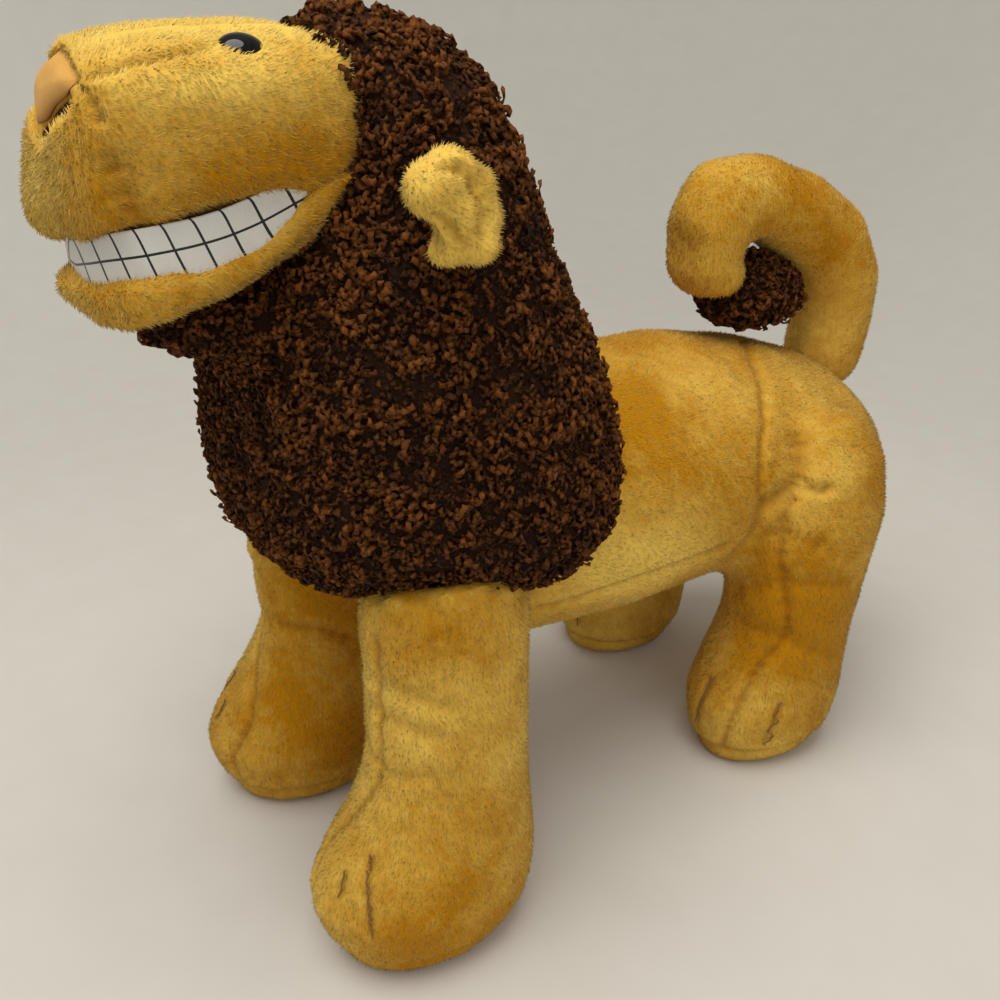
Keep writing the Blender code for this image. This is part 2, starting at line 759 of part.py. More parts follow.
def make_mouth(lip, mouth, mane_clearances, face_clearance):
    lip_clearance = clear_of("lip", lip)
    cut(skin("lower_lip_cover", "golden_plush", lip), cavity_of("lip", lip), face_clearance, *mane_clearances)
    filling("lower_lip_filling", lip, face_clearance, *mane_clearances)
    around_mouth = (face_clearance, lip_clearance, *mane_clearances)
    room = offset(mouth.stations, -mouth.fabric)
    room[:-1, 4] += CUT_OVERRUN
    hollow = as_cutter(skin("mouth_hollow", None, mouth._replace(stations=room), through=True))
    cut(skin("teeth_band", "teeth_white", mouth), hollow, *around_mouth)


def eye_profile():
    """The domed button on its post."""
    angles = [math.radians(step) for step in range(0, 90, 18)]
    dome = [(EYE_RADIUS * math.sin(angle), EYE_DOME_HEIGHT * math.cos(angle)) for angle in angles]
    post = EYE_POST_RADIUS
    return [*dome, (EYE_RADIUS, 0), (post, 0), (post, -EYE_POST_LENGTH), (0, -EYE_POST_LENGTH)]


def seat_profile(radius, shelf):
    """What is cut away for an eye: a round seat down to `shelf`, open to the outside, and the post's hole."""
    post, top, foot = EYE_POST_RADIUS + SEAM_GAP, EYE_DOME_HEIGHT + CUT_OVERRUN, -EYE_POST_LENGTH - SEAM_GAP
    return [(0, top), (radius, top), (radius, shelf), (post, shelf), (post, foot), (0, foot)]


def washer_profile(by):
    top, foot = EYE_CLAMP_DEPTH + by, EYE_CLAMP_DEPTH - EYE_WASHER_THICKNESS - by
    radius = EYE_WASHER_RADIUS + by
    return [(0, top), (radius, top), (radius, foot), (0, foot)]


def make_eye(label, side, face):
    """An eye and its washer, square to the cover. It returns the cutters for the cover and the filling."""
    point, out = surface_above(face, side * EYE_HALF_SPACING, EYE_PLACE)
    place = Matrix.Translation(point - out * EYE_SINK) @ out.to_track_quat("Z", "Y").to_matrix().to_4x4()
    washer_foot = EYE_CLAMP_DEPTH - EYE_WASHER_THICKNESS
    seats = {
        "eye_seat": seat_profile(EYE_RADIUS + SEAM_GAP, -SEAM_GAP),
        "washer_seat": washer_profile(SEAM_GAP),
        "eye_room": seat_profile(EYE_WASHER_RADIUS + SEAM_GAP, washer_foot - SEAM_GAP),
    }
    seat, washer_seat, room = (
        as_cutter(moved(turned(f"{name}_{label}", None, profile), place)) for name, profile in seats.items()
    )
    moved(turned(f"eye_{label}", "black_plastic", eye_profile()), place)
    cut(moved(turned(f"eye_washer_{label}", "washer_plastic", washer_profile(0.0)), place), seat)
    return [seat, washer_seat], room


# Ears and tail, which move


def ear_axes(side, mane):
    """An ear's root, the line that it is sewn along, and the matrix that places it."""
    out = surface_across(mane, EAR_ROOT_HEIGHT, EAR_PLACE) + EAR_ROOT_LIFT
    root = Vector((out, EAR_PLACE, EAR_ROOT_HEIGHT))
    along = Vector((0, math.sin(EAR_BASE_TILT), -math.cos(EAR_BASE_TILT)))
    hollow_side = Vector((0, -math.cos(EAR_BASE_TILT), -math.sin(EAR_BASE_TILT)))
    up = ACROSS * math.cos(EAR_TURN) + hollow_side * math.sin(EAR_TURN)
    hollow_side = hollow_side * math.cos(EAR_TURN) - ACROSS * math.sin(EAR_TURN)
    turn = Matrix((along, hollow_side, up)).transposed().to_4x4()
    mirror = Matrix.Scale(side, 4, ACROSS)
    return mirror @ root, mirror @ along, mirror @ Matrix.Translation(root) @ turn


def ear_root_sizes():
    """Half the root's width along its seam, and its radius round it."""
    _, wide, thick = EAR_SHARES[0]
    return wide * EAR_WIDTH / 2, thick * EAR_HALF_THICKNESS


def ear_skin(name, finish):
    rows = [
        (0.0, 0.0, up * EAR_HEIGHT, wide * EAR_WIDTH / 2, thick * EAR_HALF_THICKNESS)
        for up, wide, thick in EAR_SHARES
    ]
    half_width, radius = ear_root_sizes()
    for low, share in ROOT_SHARES:
        rows.insert(0, (0.0, 0.0, -low * radius, share * half_width, share * radius))
    ear = skin(name, finish, Form(smooth_stations(rows), PLUSH_FABRIC, EAR_SIDES, deep=FORWARD))
    for vertex in ear.data.vertices:
        outward = vertex.co.x / (EAR_WIDTH / 2)
        vertex.co.y += EAR_CUP * outward**2 * max(vertex.co.z / EAR_HEIGHT, 0)
    return ear


def make_ear(label, side, mane):
    """An ear with its origin on its hinge line. It returns the cutter for the groove that its root is in."""
    root, _, place = ear_axes(side, mane)
    ear = moved(ear_skin(f"ear_{label}", "golden_plush"), Matrix.Translation(-root) @ place)
    ear.location = root
    half_width, radius = (size + SEAM_GAP for size in ear_root_sizes())
    return moved(ball(f"ear_groove_{label}", (half_width, radius, radius)), place)


def make_tail(tail, tuft):
    """The tail, hung on an empty at its root. It returns the cutter for the dimple that the root turns in."""
    root = Vector((0, TAIL_ROOT_PLACE, TAIL_ROOT_HEIGHT))
    pivot = bpy.data.objects.new("tail_root", None)
    pivot.location = root
    bpy.context.scene.collection.objects.link(pivot)
    cover = cut(skin("tail_cover", "golden_plush", tail), cavity_of("tail", tail))
    stuffing = filling("tail_filling", tail)
    clearance = clear_of("tail", tail)
    tuft_cover = cut(skin("tail_tuft", "brown_curls", tuft), clearance)
    for obj in (cover, stuffing, tuft_cover, clearance, bpy.data.objects["tail_cavity"]):
        moved(obj, Matrix.Translation(-root)).parent = pivot
    radius = TAIL_HALF_WIDTH + SEAM_GAP
    return moved(ball("tail_dimple", (radius, radius, radius)), Matrix.Translation(root))


def centre_along():
    """Moves everything along Y, so that the model's box is centred on the origin."""
    bpy.context.view_layer.update()
    graph = bpy.context.evaluated_depsgraph_get()
    places = []
    for obj in bpy.context.scene.objects:
        if obj.type != "EMPTY" and not obj.hide_render:
            shown = obj.evaluated_get(graph)
            places += [(shown.matrix_world @ vertex.co).y for vertex in shown.to_mesh().vertices]
            shown.to_mesh_clear()
    for obj in bpy.context.scene.objects:
        if not obj.parent:
            obj.location.y -= (min(places) + max(places)) / 2


def main():
    clear_scene()
    mane, beard, body, face = mane_form(), beard_form(), body_form(), face_form()
    body_cavity, face_cavity = cavity_of("body", body), cavity_of("face", face)
    mane_clearances = [clear_of("mane", mane), clear_of("beard", beard)]
    mane_room, body_clearance = cavity_of("mane_room", mane), clear_of("body", body)

    tail_dimple = make_tail(tail_form(), tuft_form())
    ear_grooves = [make_ear("left", LEFT, mane), make_ear("right", RIGHT, mane)]
    left_seats, left_room = make_eye("left", LEFT, face)
    right_seats, right_room = make_eye("right", RIGHT, face)

    make_mane(mane, beard, body_cavity, face_cavity, ear_grooves)
    filling("chest_filling", mane)
    make_body(body, body_cavity, mane_clearances, tail_dimple)
    filling("torso_filling", body, mane_room, tail_dimple)
    eye_seats, eye_rooms = [*left_seats, *right_seats], [left_room, right_room]
    make_face(face, face_cavity, mane_clearances, mane_room, eye_seats, eye_rooms)
    make_mouth(lip_form(), mouth_form(), mane_clearances, clear_of("face", face))
    for label, side in (("left", LEFT), ("right", RIGHT)):
        make_leg(f"front_leg_{label}", leg_form(side, front=True), [*mane_clearances, body_clearance])
        make_leg(f"hind_leg_{label}", leg_form(side, front=False), [body_clearance])
    centre_along()


main()
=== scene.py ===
# %% [markdown]
# # A plush lion, dressed over its solids
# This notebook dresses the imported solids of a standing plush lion. The solids give the place and the size
# of every piece, so each step below starts from one of them and adds what cloth, stuffing and pile do to
# it.

# %% Load the solids
import json
import math

import bpy
import numpy as np
from mathutils import Matrix, Vector
from mathutils.bvhtree import BVHTree
from mathutils.kdtree import KDTree

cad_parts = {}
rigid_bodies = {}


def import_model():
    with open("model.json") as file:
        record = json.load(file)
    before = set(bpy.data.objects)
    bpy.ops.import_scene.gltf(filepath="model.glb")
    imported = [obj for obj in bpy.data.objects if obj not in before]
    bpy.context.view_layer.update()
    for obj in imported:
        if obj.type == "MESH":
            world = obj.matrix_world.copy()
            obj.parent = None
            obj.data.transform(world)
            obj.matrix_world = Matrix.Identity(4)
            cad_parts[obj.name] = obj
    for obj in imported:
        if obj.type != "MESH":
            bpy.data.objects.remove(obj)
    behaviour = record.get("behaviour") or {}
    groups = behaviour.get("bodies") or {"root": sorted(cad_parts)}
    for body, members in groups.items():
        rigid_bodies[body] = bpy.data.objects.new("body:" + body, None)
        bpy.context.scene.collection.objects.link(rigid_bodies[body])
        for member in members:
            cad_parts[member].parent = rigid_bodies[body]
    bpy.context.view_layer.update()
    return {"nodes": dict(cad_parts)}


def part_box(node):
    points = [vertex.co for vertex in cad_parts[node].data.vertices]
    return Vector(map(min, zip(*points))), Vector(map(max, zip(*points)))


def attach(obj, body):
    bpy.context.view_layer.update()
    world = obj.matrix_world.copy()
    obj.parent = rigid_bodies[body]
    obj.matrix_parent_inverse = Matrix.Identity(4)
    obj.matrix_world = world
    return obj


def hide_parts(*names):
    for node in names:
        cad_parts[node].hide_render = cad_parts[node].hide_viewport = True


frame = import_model()
scene = bpy.context.scene

# %% [markdown]
# The camera comes first, because it says what will be seen. It stands in front of the lion, on its left and
# a little above it, as someone stands who takes a picture of a toy on a bed. The lens is slightly wide.


# %% The camera
CAMERA_PLACE = Vector((0.3513, -0.28087, 0.3897))
CAMERA_LOOKS = Vector((-0.7327, 0.5043, -0.4570))

lens = bpy.data.cameras.new("camera")
lens.lens, lens.sensor_width = 35.28, 36.0
lens.clip_start, lens.clip_end = 0.01, 50.0
camera = bpy.data.objects.new("camera", lens)
scene.collection.objects.link(camera)
camera.location = CAMERA_PLACE
camera.rotation_euler = CAMERA_LOOKS.to_track_quat("-Z", "Y").to_euler()
scene.camera = camera
print("camera at", tuple(round(v, 3) for v in camera.location))

# %% [markdown]
# ## Small helpers
# An operator acts on everything that is selected, and the loaded solids come in selected. So each step
# starts by selecting nothing, and then just the piece it works on. Point lists travel as number arrays,
# which are fast.


# %% Selecting, and reading points
def select_only(*objects):
    """Leaves edit mode, and selects these objects and nothing else."""
    if bpy.context.object and bpy.context.object.mode != "OBJECT":
        bpy.ops.object.mode_set(mode="OBJECT")
    bpy.ops.object.select_all(action="DESELECT")
    for obj in objects:
        obj.select_set(True)
        bpy.context.view_layer.objects.active = obj


def points_of(piece):
    values = np.empty(len(piece.data.vertices) * 3)
    piece.data.vertices.foreach_get("co", values)
    return values.reshape(-1, 3)


def normals_of(piece):
    values = np.empty(len(piece.data.vertices) * 3)
    piece.data.vertex_normals.foreach_get("vector", values)
    return values.reshape(-1, 3)


def move_points(piece, points):
    piece.data.vertices.foreach_set("co", np.ascontiguousarray(points).ravel())
    piece.data.update()


def unit(vectors):
    """The same ways, each one metre long."""
    return vectors / np.maximum(np.linalg.norm(vectors, axis=-1, keepdims=True), 1e-12)


def apply_modifier(piece, kind, **settings):
    modifier = piece.modifiers.new(kind.lower(), kind)
    for name, value in settings.items():
        setattr(modifier, name, value)
    select_only(piece)
    bpy.ops.object.modifier_apply(modifier=modifier.name)


def mirrored(line):
    """The same line on the lion's other side."""
    return [(-x, y, z) for x, y, z in line]


select_only()


# %% A smooth random field, for locks of pile that lean together
def soft_noise(points, size, seed):
    """A number from -1 to 1 at each point, that changes smoothly over about `size` metres."""
    table = np.random.default_rng(seed).uniform(-1.0, 1.0, (32, 32, 32))
    place = points / size
    cell = np.floor(place).astype(int)
    part = place - cell
    part = part * part * (3 - 2 * part)
    total = np.zeros(len(points))
    for corner in range(8):
        step = np.array([corner & 1, corner >> 1 & 1, corner >> 2 & 1])
        weight = np.prod(np.where(step, part, 1 - part), axis=1)
        x, y, z = ((cell + step) % 32).T
        total += weight * table[x, y, z]
    return total


NAP_AND_PAINTED_LIGHT_STROKES = [  # place, reach each way, and how much paler the pile is painted there, the same on both sides: partly nap, partly painted highlight and shade
    ((0.050, -0.172, 0.3665), (0.030, 0.032, 0.006), 0.40),
    ((0.053, -0.160, 0.3440), (0.030, 0.040, 0.012), -0.24),
    ((0.010, -0.165, 0.3800), (0.035, 0.050, 0.008), 0.60),
    ((0.030, -0.135, 0.3780), (0.025, 0.014, 0.012), 0.25),
    ((0.066, 0.000, 0.1560), (0.030, 0.050, 0.022), 0.70),
    ((0.060, 0.000, 0.2200), (0.040, 0.050, 0.016), -0.36),
    ((0.085, 0.085, 0.0950), (0.030, 0.040, 0.028), -0.48),
    ((0.075, 0.060, 0.0300), (0.030, 0.030, 0.022), 0.25),
    ((0.060, -0.165, 0.0350), (0.022, 0.025, 0.025), 0.25),
    ((0.095, -0.150, 0.0350), (0.018, 0.030, 0.030), -0.15),
    ((0.070, -0.145, 0.1250), (0.022, 0.020, 0.045), 0.18),
    ((0.085, -0.096, 0.1150), (0.018, 0.016, 0.050), 0.26),
    ((0.055, -0.150, 0.3180), (0.016, 0.016, 0.012), 0.20),
    ((0.098, -0.122, 0.3350), (0.020, 0.030, 0.030), 0.30),
]


def nap_tone_and_painted_light(points, normals, seed):
    """How pale the pile is painted, 0 to 1: broad patches and small locks of uneven tone, strokes of nap with
    painted highlight and shade, and a painted highlight where it faces forwards.
    """
    broad = soft_noise(points, 0.045, seed) * 0.26 + soft_noise(points, 0.018, seed + 1) * 0.16
    locks = soft_noise(points, 0.0050, seed + 2) * 0.10 + soft_noise(points, 0.0018, seed + 3) * 0.10
    both_sides = np.column_stack([np.abs(points[:, 0]), points[:, 1:]])
    strokes = sum(
        amount * np.exp(-(((both_sides - place) / reach) ** 2).sum(axis=1))
        for place, reach, amount in NAP_AND_PAINTED_LIGHT_STROKES
    )
    # painted light: the strokes carry painted highlight and shade, and a side that faces forwards is painted
    # paler
    return 0.42 + broad + locks + strokes - normals[:, 1] * 0.14


# %% [markdown]
# ## A little language for finishes
# A shader is easier to read as arithmetic than as boxes and wires. The class below wraps one socket, and
# adding or multiplying two of them adds the Math node that does it. Colours go through Mix, because a Math
# node turns a colour grey.


# %% Shader arithmetic
class Amount:
    def __init__(self, finish, socket):
        self.finish, self.socket = finish, socket

    def math(self, operation, first, second=0.0):
        made = self.finish.node("ShaderNodeMath", {"operation": operation}, {0: first, 1: second})
        return Amount(self.finish, made.outputs[0])

    def __add__(self, other):
        return self.math("ADD", self, other)

    def __sub__(self, other):
        return self.math("SUBTRACT", self, other)

    def __rsub__(self, other):
        return self.math("SUBTRACT", other, self)

    def __mul__(self, other):
        return self.math("MULTIPLY", self, other)

    __radd__, __rmul__ = __add__, __mul__

    def __truediv__(self, other):
        return self.math("DIVIDE", self, other)

    def __lt__(self, other):
        return self.math("LESS_THAN", self, other)

    def size(self):
        return self.math("ABSOLUTE", self)

    def fraction(self):
        return self.math("FRACT", self)

    def held(self):
        """Kept between 0 and 1."""
        return self.math("MINIMUM", self.math("MAXIMUM", self, 0.0), 1.0)


# %% One finish
class Finish:
    def __init__(self, name):
        self.material = bpy.data.materials.new(name)
        self.material.use_nodes = True
        self.tree = self.material.node_tree
        self.tree.nodes.clear()
        self.place = self.node("ShaderNodeTexCoord").outputs["Object"]

    def node(self, kind, settings=None, inputs=None):
        made = self.tree.nodes.new(kind)
        for name, value in (settings or {}).items():
            setattr(made, name, value)
        for name, value in (inputs or {}).items():
            socket = value.socket if isinstance(value, Amount) else value
            if isinstance(socket, bpy.types.NodeSocket):
                self.tree.links.new(socket, made.inputs[name])
            else:
                made.inputs[name].default_value = value
        return made

    def noise(self, scale, detail=2.0, rough=0.55, place=None, twist=0.0):
        settings = {
            "Vector": place or self.place, "Scale": scale, "Detail": detail, "Roughness": rough,
            "Distortion": twist,
        }
        return Amount(self, self.node("ShaderNodeTexNoise", {}, settings).outputs["Fac"])

    def stretched(self, along):
        return self.node("ShaderNodeMapping", {}, {"Vector": self.place, "Scale": along}).outputs[0]

    def attribute(self, name):
        parts = self.node(
            "ShaderNodeSeparateXYZ", {},
            {0: self.node("ShaderNodeAttribute", {"attribute_name": name}).outputs["Vector"]},
        )
        return [Amount(self, socket) for socket in parts.outputs]

    def mix(self, factor, first, second):
        made = self.node("ShaderNodeMix", {"data_type": "RGBA"}, {0: factor, 6: first, 7: second})
        return made.outputs[2]

    def bump(self, height, distance, strength=1.0):
        made = self.node("ShaderNodeBump", {}, {"Height": height, "Distance": distance, "Strength": strength})
        return made.outputs[0]

    def surface(self, **inputs):
        inputs = {name.replace("_", " "): value for name, value in inputs.items()}
        shader = self.node("ShaderNodeBsdfPrincipled", {}, inputs)
        self.node("ShaderNodeOutputMaterial", {}, {"Surface": shader.outputs[0]})
        return self.material


def colour(red, green, blue):
    """An sRGB colour, 0 to 255, as the shader wants it."""
    shares = (red / 255, green / 255, blue / 255)
    linear = [v / 12.92 if v <= 0.04045 else ((v + 0.055) / 1.055) ** 2.4 for v in shares]
    return (*linear, 1.0)


# %% [markdown]
# ## The finishes
# The golden cloth is a short pile. Where the pile lies towards you it is painted pale, and where it lies away
# it is deep orange, so its colour changes in soft patches and in locks of a few millimetres, partly as uneven
# tone and partly as painted highlight and shade. From the root of each tuft to its tip it is painted paler,
# as painted shade among the roots. Every tuft carries three numbers in an attribute called pile: how near the
# tip a point is, a shade that the tufts of one lock share, and how near a seam it stands, which paints shade
# into the groove.


# %% Golden pile
def golden_finish():
    finish = Finish("golden_pile")
    tip, shade, seam = finish.attribute("pile")
    patch = finish.noise(20.0, 3.0, 0.6, twist=0.4)
    speck = finish.noise(700.0, 3.0, 0.7)
    tone = (shade * 1.35 + patch * 0.5 + speck * 0.3 - 0.61).held()
    cloth = finish.mix(tone, colour(186, 125, 2), colour(240, 200, 92))
    # painted shade and highlight: tufts are painted paler towards their tips and deeper at their roots
    tip_painted_light = finish.mix((tip * 0.36).held(), cloth, colour(247, 217, 130))
    # painted shade: seam grooves, creases and wrinkles are painted darker
    seam_shaded = finish.mix((seam * 0.6).held(), tip_painted_light, colour(132, 80, 10))
    # painted shadow: the nostril slit is painted near black
    painted_slit_shade = finish.mix(((seam - 1.0) * 1.6).held(), seam_shaded, colour(58, 28, 8))
    return finish.surface(
        Base_Color=painted_slit_shade,
        Roughness=0.9,
        Specular_IOR_Level=0.08,
        Sheen_Weight=0.12,
        Sheen_Roughness=0.45,
        Sheen_Tint=colour(255, 230, 170),
        Normal=finish.bump(speck, 0.0010, 0.5),
    )


golden = golden_finish()

# %% [markdown]
# The mane is a curly yarn, painted dark brown in its depths as painted shade, and warmer towards the top of a
# curl as a painted highlight. Each curl carries its own shade, and how high it stands, in the same attribute.


# %% Mane yarn
def yarn_finish():
    finish = Finish("mane_yarn")
    tip, shade, _ = finish.attribute("pile")
    patch = finish.noise(30.0, 2.0)
    loop = finish.noise(330.0, 3.0, 0.7, twist=1.5)
    strand = finish.noise(1300.0, 3.0, 0.75, twist=1.0)
    # tip is how high a point stands on its curl: painted highlight at the tops, painted shade in the depths
    tone = (tip * 0.75 + shade * 0.5 + patch * 0.3 + loop * 0.6 + strand * 0.6 - 0.98).held()
    yarn = finish.mix(tone, colour(32, 14, 4), colour(156, 92, 36))
    return finish.surface(
        Base_Color=yarn,
        Roughness=0.72,
        Specular_IOR_Level=0.16,
        Sheen_Weight=0.08,
        Sheen_Roughness=0.4,
        Sheen_Tint=colour(226, 130, 60),
        Normal=finish.bump(strand * 0.5 + loop, 0.0032, 0.9),
    )


yarn = yarn_finish()

# %% [markdown]
# The teeth are one band of white satin, printed with thin black lines: one line along its middle, and
# slanting ones across it. The band carries its own measure, so that the lines follow it round the muzzle:
# how many teeth from its middle, and how many metres above its middle line.

# %% Printed satin
TOOTH_WIDTH = 0.0092
TOOTH_LEAN = 0.33
LINE_WIDTH = 0.00082


def satin_finish():
    finish = Finish("printed_satin")
    along, above, _ = finish.attribute("band")
    middle = above.size() < LINE_WIDTH / 2
    across = (along + above * (TOOTH_LEAN / TOOTH_WIDTH)).fraction() - 0.5
    between = across.size() < LINE_WIDTH / TOOTH_WIDTH / 2
    lines = (middle + between).held()
    weave = finish.noise(2600.0, 2.0, 0.5, place=finish.stretched((1.0, 1.0, 0.25)))
    sag = finish.noise(120.0, 2.0)
    cloth = finish.mix((sag * 0.8).held(), colour(218, 215, 205), colour(200, 197, 188))
    return finish.surface(
        Base_Color=finish.mix(lines, cloth, colour(14, 13, 14)),
        Roughness=0.42,
        Specular_IOR_Level=0.45,
        Sheen_Weight=0.15,
        Normal=finish.bump(weave * 0.3 + sag, 0.0007, 0.5),
    )


satin = satin_finish()


# %% The small finishes: nose velvet, eyes, thread and washers
def nose_finish():
    finish = Finish("nose_velvet")
    nap = finish.noise(1800.0, 3.0, 0.6)
    patch = finish.noise(90.0, 2.0)
    _, _, painted_slit_shade = finish.attribute("pile")
    cloth = finish.mix((patch * 0.9 + nap * 0.3 - 0.2).held(), colour(202, 146, 62), colour(228, 176, 90))
    # the nose patch takes painted shade towards the nostril slit
    return finish.surface(
        Base_Color=finish.mix(painted_slit_shade.held(), cloth, colour(120, 66, 22)),
        Roughness=0.8,
        Specular_IOR_Level=0.2,
        Sheen_Weight=0.2,
        Sheen_Tint=colour(255, 222, 170),
        Normal=finish.bump(nap, 0.0004, 0.7),
    )


def eye_finish():
    finish = Finish("eye_black")
    haze = finish.noise(420.0, 2.0)
    return finish.surface(
        Base_Color=colour(9, 8, 8),
        Roughness=haze * 0.06 + 0.03,
        Specular_IOR_Level=0.25,
        Coat_Weight=0.2,
        Coat_Roughness=0.03,
    )


def thread_finish():
    finish = Finish("toe_thread_brown")
    ply = finish.noise(2400.0, 2.0, place=finish.stretched((1.0, 1.0, 0.4)))
    cloth = finish.mix(ply, colour(104, 62, 18), colour(150, 98, 36))
    return finish.surface(
        Base_Color=cloth, Roughness=0.7, Sheen_Weight=0.2, Normal=finish.bump(ply, 0.0003, 0.8),
    )


def washer_finish():
    finish = Finish("washer_white")
    scuff = finish.noise(300.0, 2.0)
    cloth = finish.mix(scuff, colour(214, 212, 204), colour(230, 228, 222))
    return finish.surface(
        Base_Color=cloth, Roughness=scuff * 0.2 + 0.35, Normal=finish.bump(scuff, 0.0002, 0.3),
    )


nose_velvet = nose_finish()
eye_black = eye_finish()
thread_brown = thread_finish()
washer_white = washer_finish()
for node_name in ("eye_washer_left", "eye_washer_right"):
    node = frame["nodes"][node_name]
    node.data.materials.clear()
    node.data.materials.append(washer_white)
print("finishes made:", len(bpy.data.materials))

# %% [markdown]
# ## From solids to stuffed cloth
# Each stuffed piece starts as a copy of its solids, joined into one. A voxel remesh gives it a single skin
# of even squares, whatever lay inside, and a smoothing takes the flat faces away. Then the piece is
# stuffed: Cloth pressure pushes the skin outwards for twenty steps, except along its seams, which are held
# where they are, so that the cloth swells between them as it does on the toy.

# %% Copy the solids and remesh them
NAP_SEED = 900
PAINTED_SHADE_UNDER_PILE = 0.12  # how much deeper the cloth under the tufts is painted than the tufts, as painted shade among their roots
STUFFING_STEPS = 20


def one_skin(name, node_names, voxel, smoothing, lift=0.0):
    """One closed skin round some solids, moved outwards by the lift, or inwards where it is below zero."""
    copies = []
    for node_name in node_names:
        copy = frame["nodes"][node_name].copy()
        copy.data = copy.data.copy()
        copy.parent = None
        for key in list(copy.keys()):
            del copy[key]
        scene.collection.objects.link(copy)
        copy.hide_render = copy.hide_viewport = False
        copies.append(copy)
    select_only(*copies)
    piece = copies[-1]
    if len(copies) > 1:
        bpy.ops.object.join()
    piece.name = piece.data.name = name
    piece.data.materials.clear()
    bpy.ops.object.mode_set(mode="EDIT")
    bpy.ops.mesh.select_all(action="SELECT")
    bpy.ops.mesh.remove_doubles(threshold=1e-5)
    bpy.ops.object.mode_set(mode="OBJECT")
    apply_modifier(piece, "REMESH", mode="VOXEL", voxel_size=voxel)
    keep_outer_skin(piece)
    smooth_full(piece, smoothing)
    if lift:
        move_points(piece, points_of(piece) + normals_of(piece) * lift)
    return piece


def smooth_full(piece, rounds):
    """Smooths small facets away, and gives back the broad size that the smoothing took."""
    before = points_of(piece)
    apply_modifier(piece, "SMOOTH", factor=0.5, iterations=rounds)
    lost = before - points_of(piece)
    ends = np.empty(len(piece.data.edges) * 2, dtype=np.int32)
    piece.data.edges.foreach_get("vertices", ends)
    first, second = ends.reshape(-1, 2).T
    neighbours = np.bincount(ends, minlength=len(lost))[:, None]
    for _ in range(rounds):
        around = np.zeros_like(lost)
        np.add.at(around, first, lost[second])
        np.add.at(around, second, lost[first])
        lost = (lost + around / neighbours) / 2
    move_points(piece, points_of(piece) + lost)


def keep_outer_skin(piece):
    """Removes what the remesh left inside the outer skin."""
    outermost = int(np.argmax(np.abs(points_of(piece)[:, 0])))
    select_only(piece)
    bpy.ops.object.mode_set(mode="EDIT")
    bpy.ops.mesh.select_mode(type="VERT")
    bpy.ops.mesh.select_all(action="DESELECT")
    bpy.ops.object.mode_set(mode="OBJECT")
    piece.data.vertices[outermost].select = True
    bpy.ops.object.mode_set(mode="EDIT")
    bpy.ops.mesh.select_linked()
    bpy.ops.mesh.select_all(action="INVERT")
    bpy.ops.mesh.delete(type="VERT")
    bpy.ops.object.mode_set(mode="OBJECT")


# %% Lay a seam line on the skin
def tree_of(piece):
    """The skin as a search tree. calc_loop_triangles() has to come before it."""
    triangles = np.empty(len(piece.data.loop_triangles) * 3, dtype=np.int32)
    piece.data.loop_triangles.foreach_get("vertices", triangles)
    return BVHTree.FromPolygons(points_of(piece).tolist(), triangles.reshape(-1, 3).tolist())


def laid_on(piece, line, step=0.0006, curved=True):
    """The line as close-set points on the piece's skin. A curved line passes smoothly through its points."""
    corners = np.array(line, dtype=float)
    if curved and len(corners) > 2:
        ends = np.vstack([2 * corners[0] - corners[1], corners, 2 * corners[-1] - corners[-2]])
        fine = []
        for i in range(1, len(ends) - 2):
            a, b, c, d = ends[i - 1 : i + 3]
            for t in np.linspace(0, 1, 12, endpoint=False):
                bend, twist = 2 * a - 5 * b + 4 * c - d, 3 * b - a - 3 * c + d
                fine.append(0.5 * ((2 * b) + (c - a) * t + bend * t**2 + twist * t**3))
        corners = np.array(fine + [corners[-1]])
    close = []
    for start, end in zip(corners[:-1], corners[1:]):
        count = max(1, int(np.ceil(np.linalg.norm(end - start) / step)))
        close.extend(start + (end - start) * i / count for i in range(count))
    close.append(corners[-1])
    piece.data.calc_loop_triangles()
    skin = tree_of(piece)
    return np.array([skin.find_nearest(Vector(point))[0] for point in close])


def distance_to(points, line_points):
    """How far each point is from the line, and which of the line's points is nearest to it."""
    tree = KDTree(len(line_points))
    for i, point in enumerate(line_points):
        tree.insert(point, i)
    tree.balance()
    found = [tree.find(point)[1:] for point in points]
    return np.array([f[1] for f in found]), np.array([f[0] for f in found])


# %% Stuff a piece, and sew its seams
def stuff(piece, cap, seams=(), hold=0.004, pressure=4.0):
    """Cloth pressure, with the seams held still and no point moving further than the cap."""
    before = points_of(piece)
    held_group = piece.vertex_groups.new(name="sewn")
    if seams:
        line_points = np.vstack([laid_on(piece, seam) for seam in seams])
        distance, _ = distance_to(before, line_points)
        for i in np.nonzero(distance < hold)[0]:
            held_group.add([int(i)], 1.0, "REPLACE")
    cloth = piece.modifiers.new("stuffing", "CLOTH")
    cloth.settings.use_pressure = True
    cloth.settings.uniform_pressure_force = pressure
    cloth.settings.effector_weights.gravity = 0.0
    if seams:
        cloth.settings.vertex_group_mass = "sewn"
    for step in range(1, STUFFING_STEPS + 1):
        scene.frame_set(step)
    select_only(piece)
    bpy.ops.object.modifier_apply(modifier=cloth.name)
    scene.frame_set(1)
    move = points_of(piece) - before
    length = np.linalg.norm(move, axis=1, keepdims=True)
    move_points(piece, before + move * np.minimum(1.0, cap / np.maximum(length, 1e-9)))
    piece.vertex_groups.clear()
    print(piece.name, "stuffed: moved", round(float(length.mean()) * 1000, 1), "mm on average")


def finer(piece, levels=1):
    apply_modifier(piece, "SUBSURF", levels=levels, render_levels=levels)


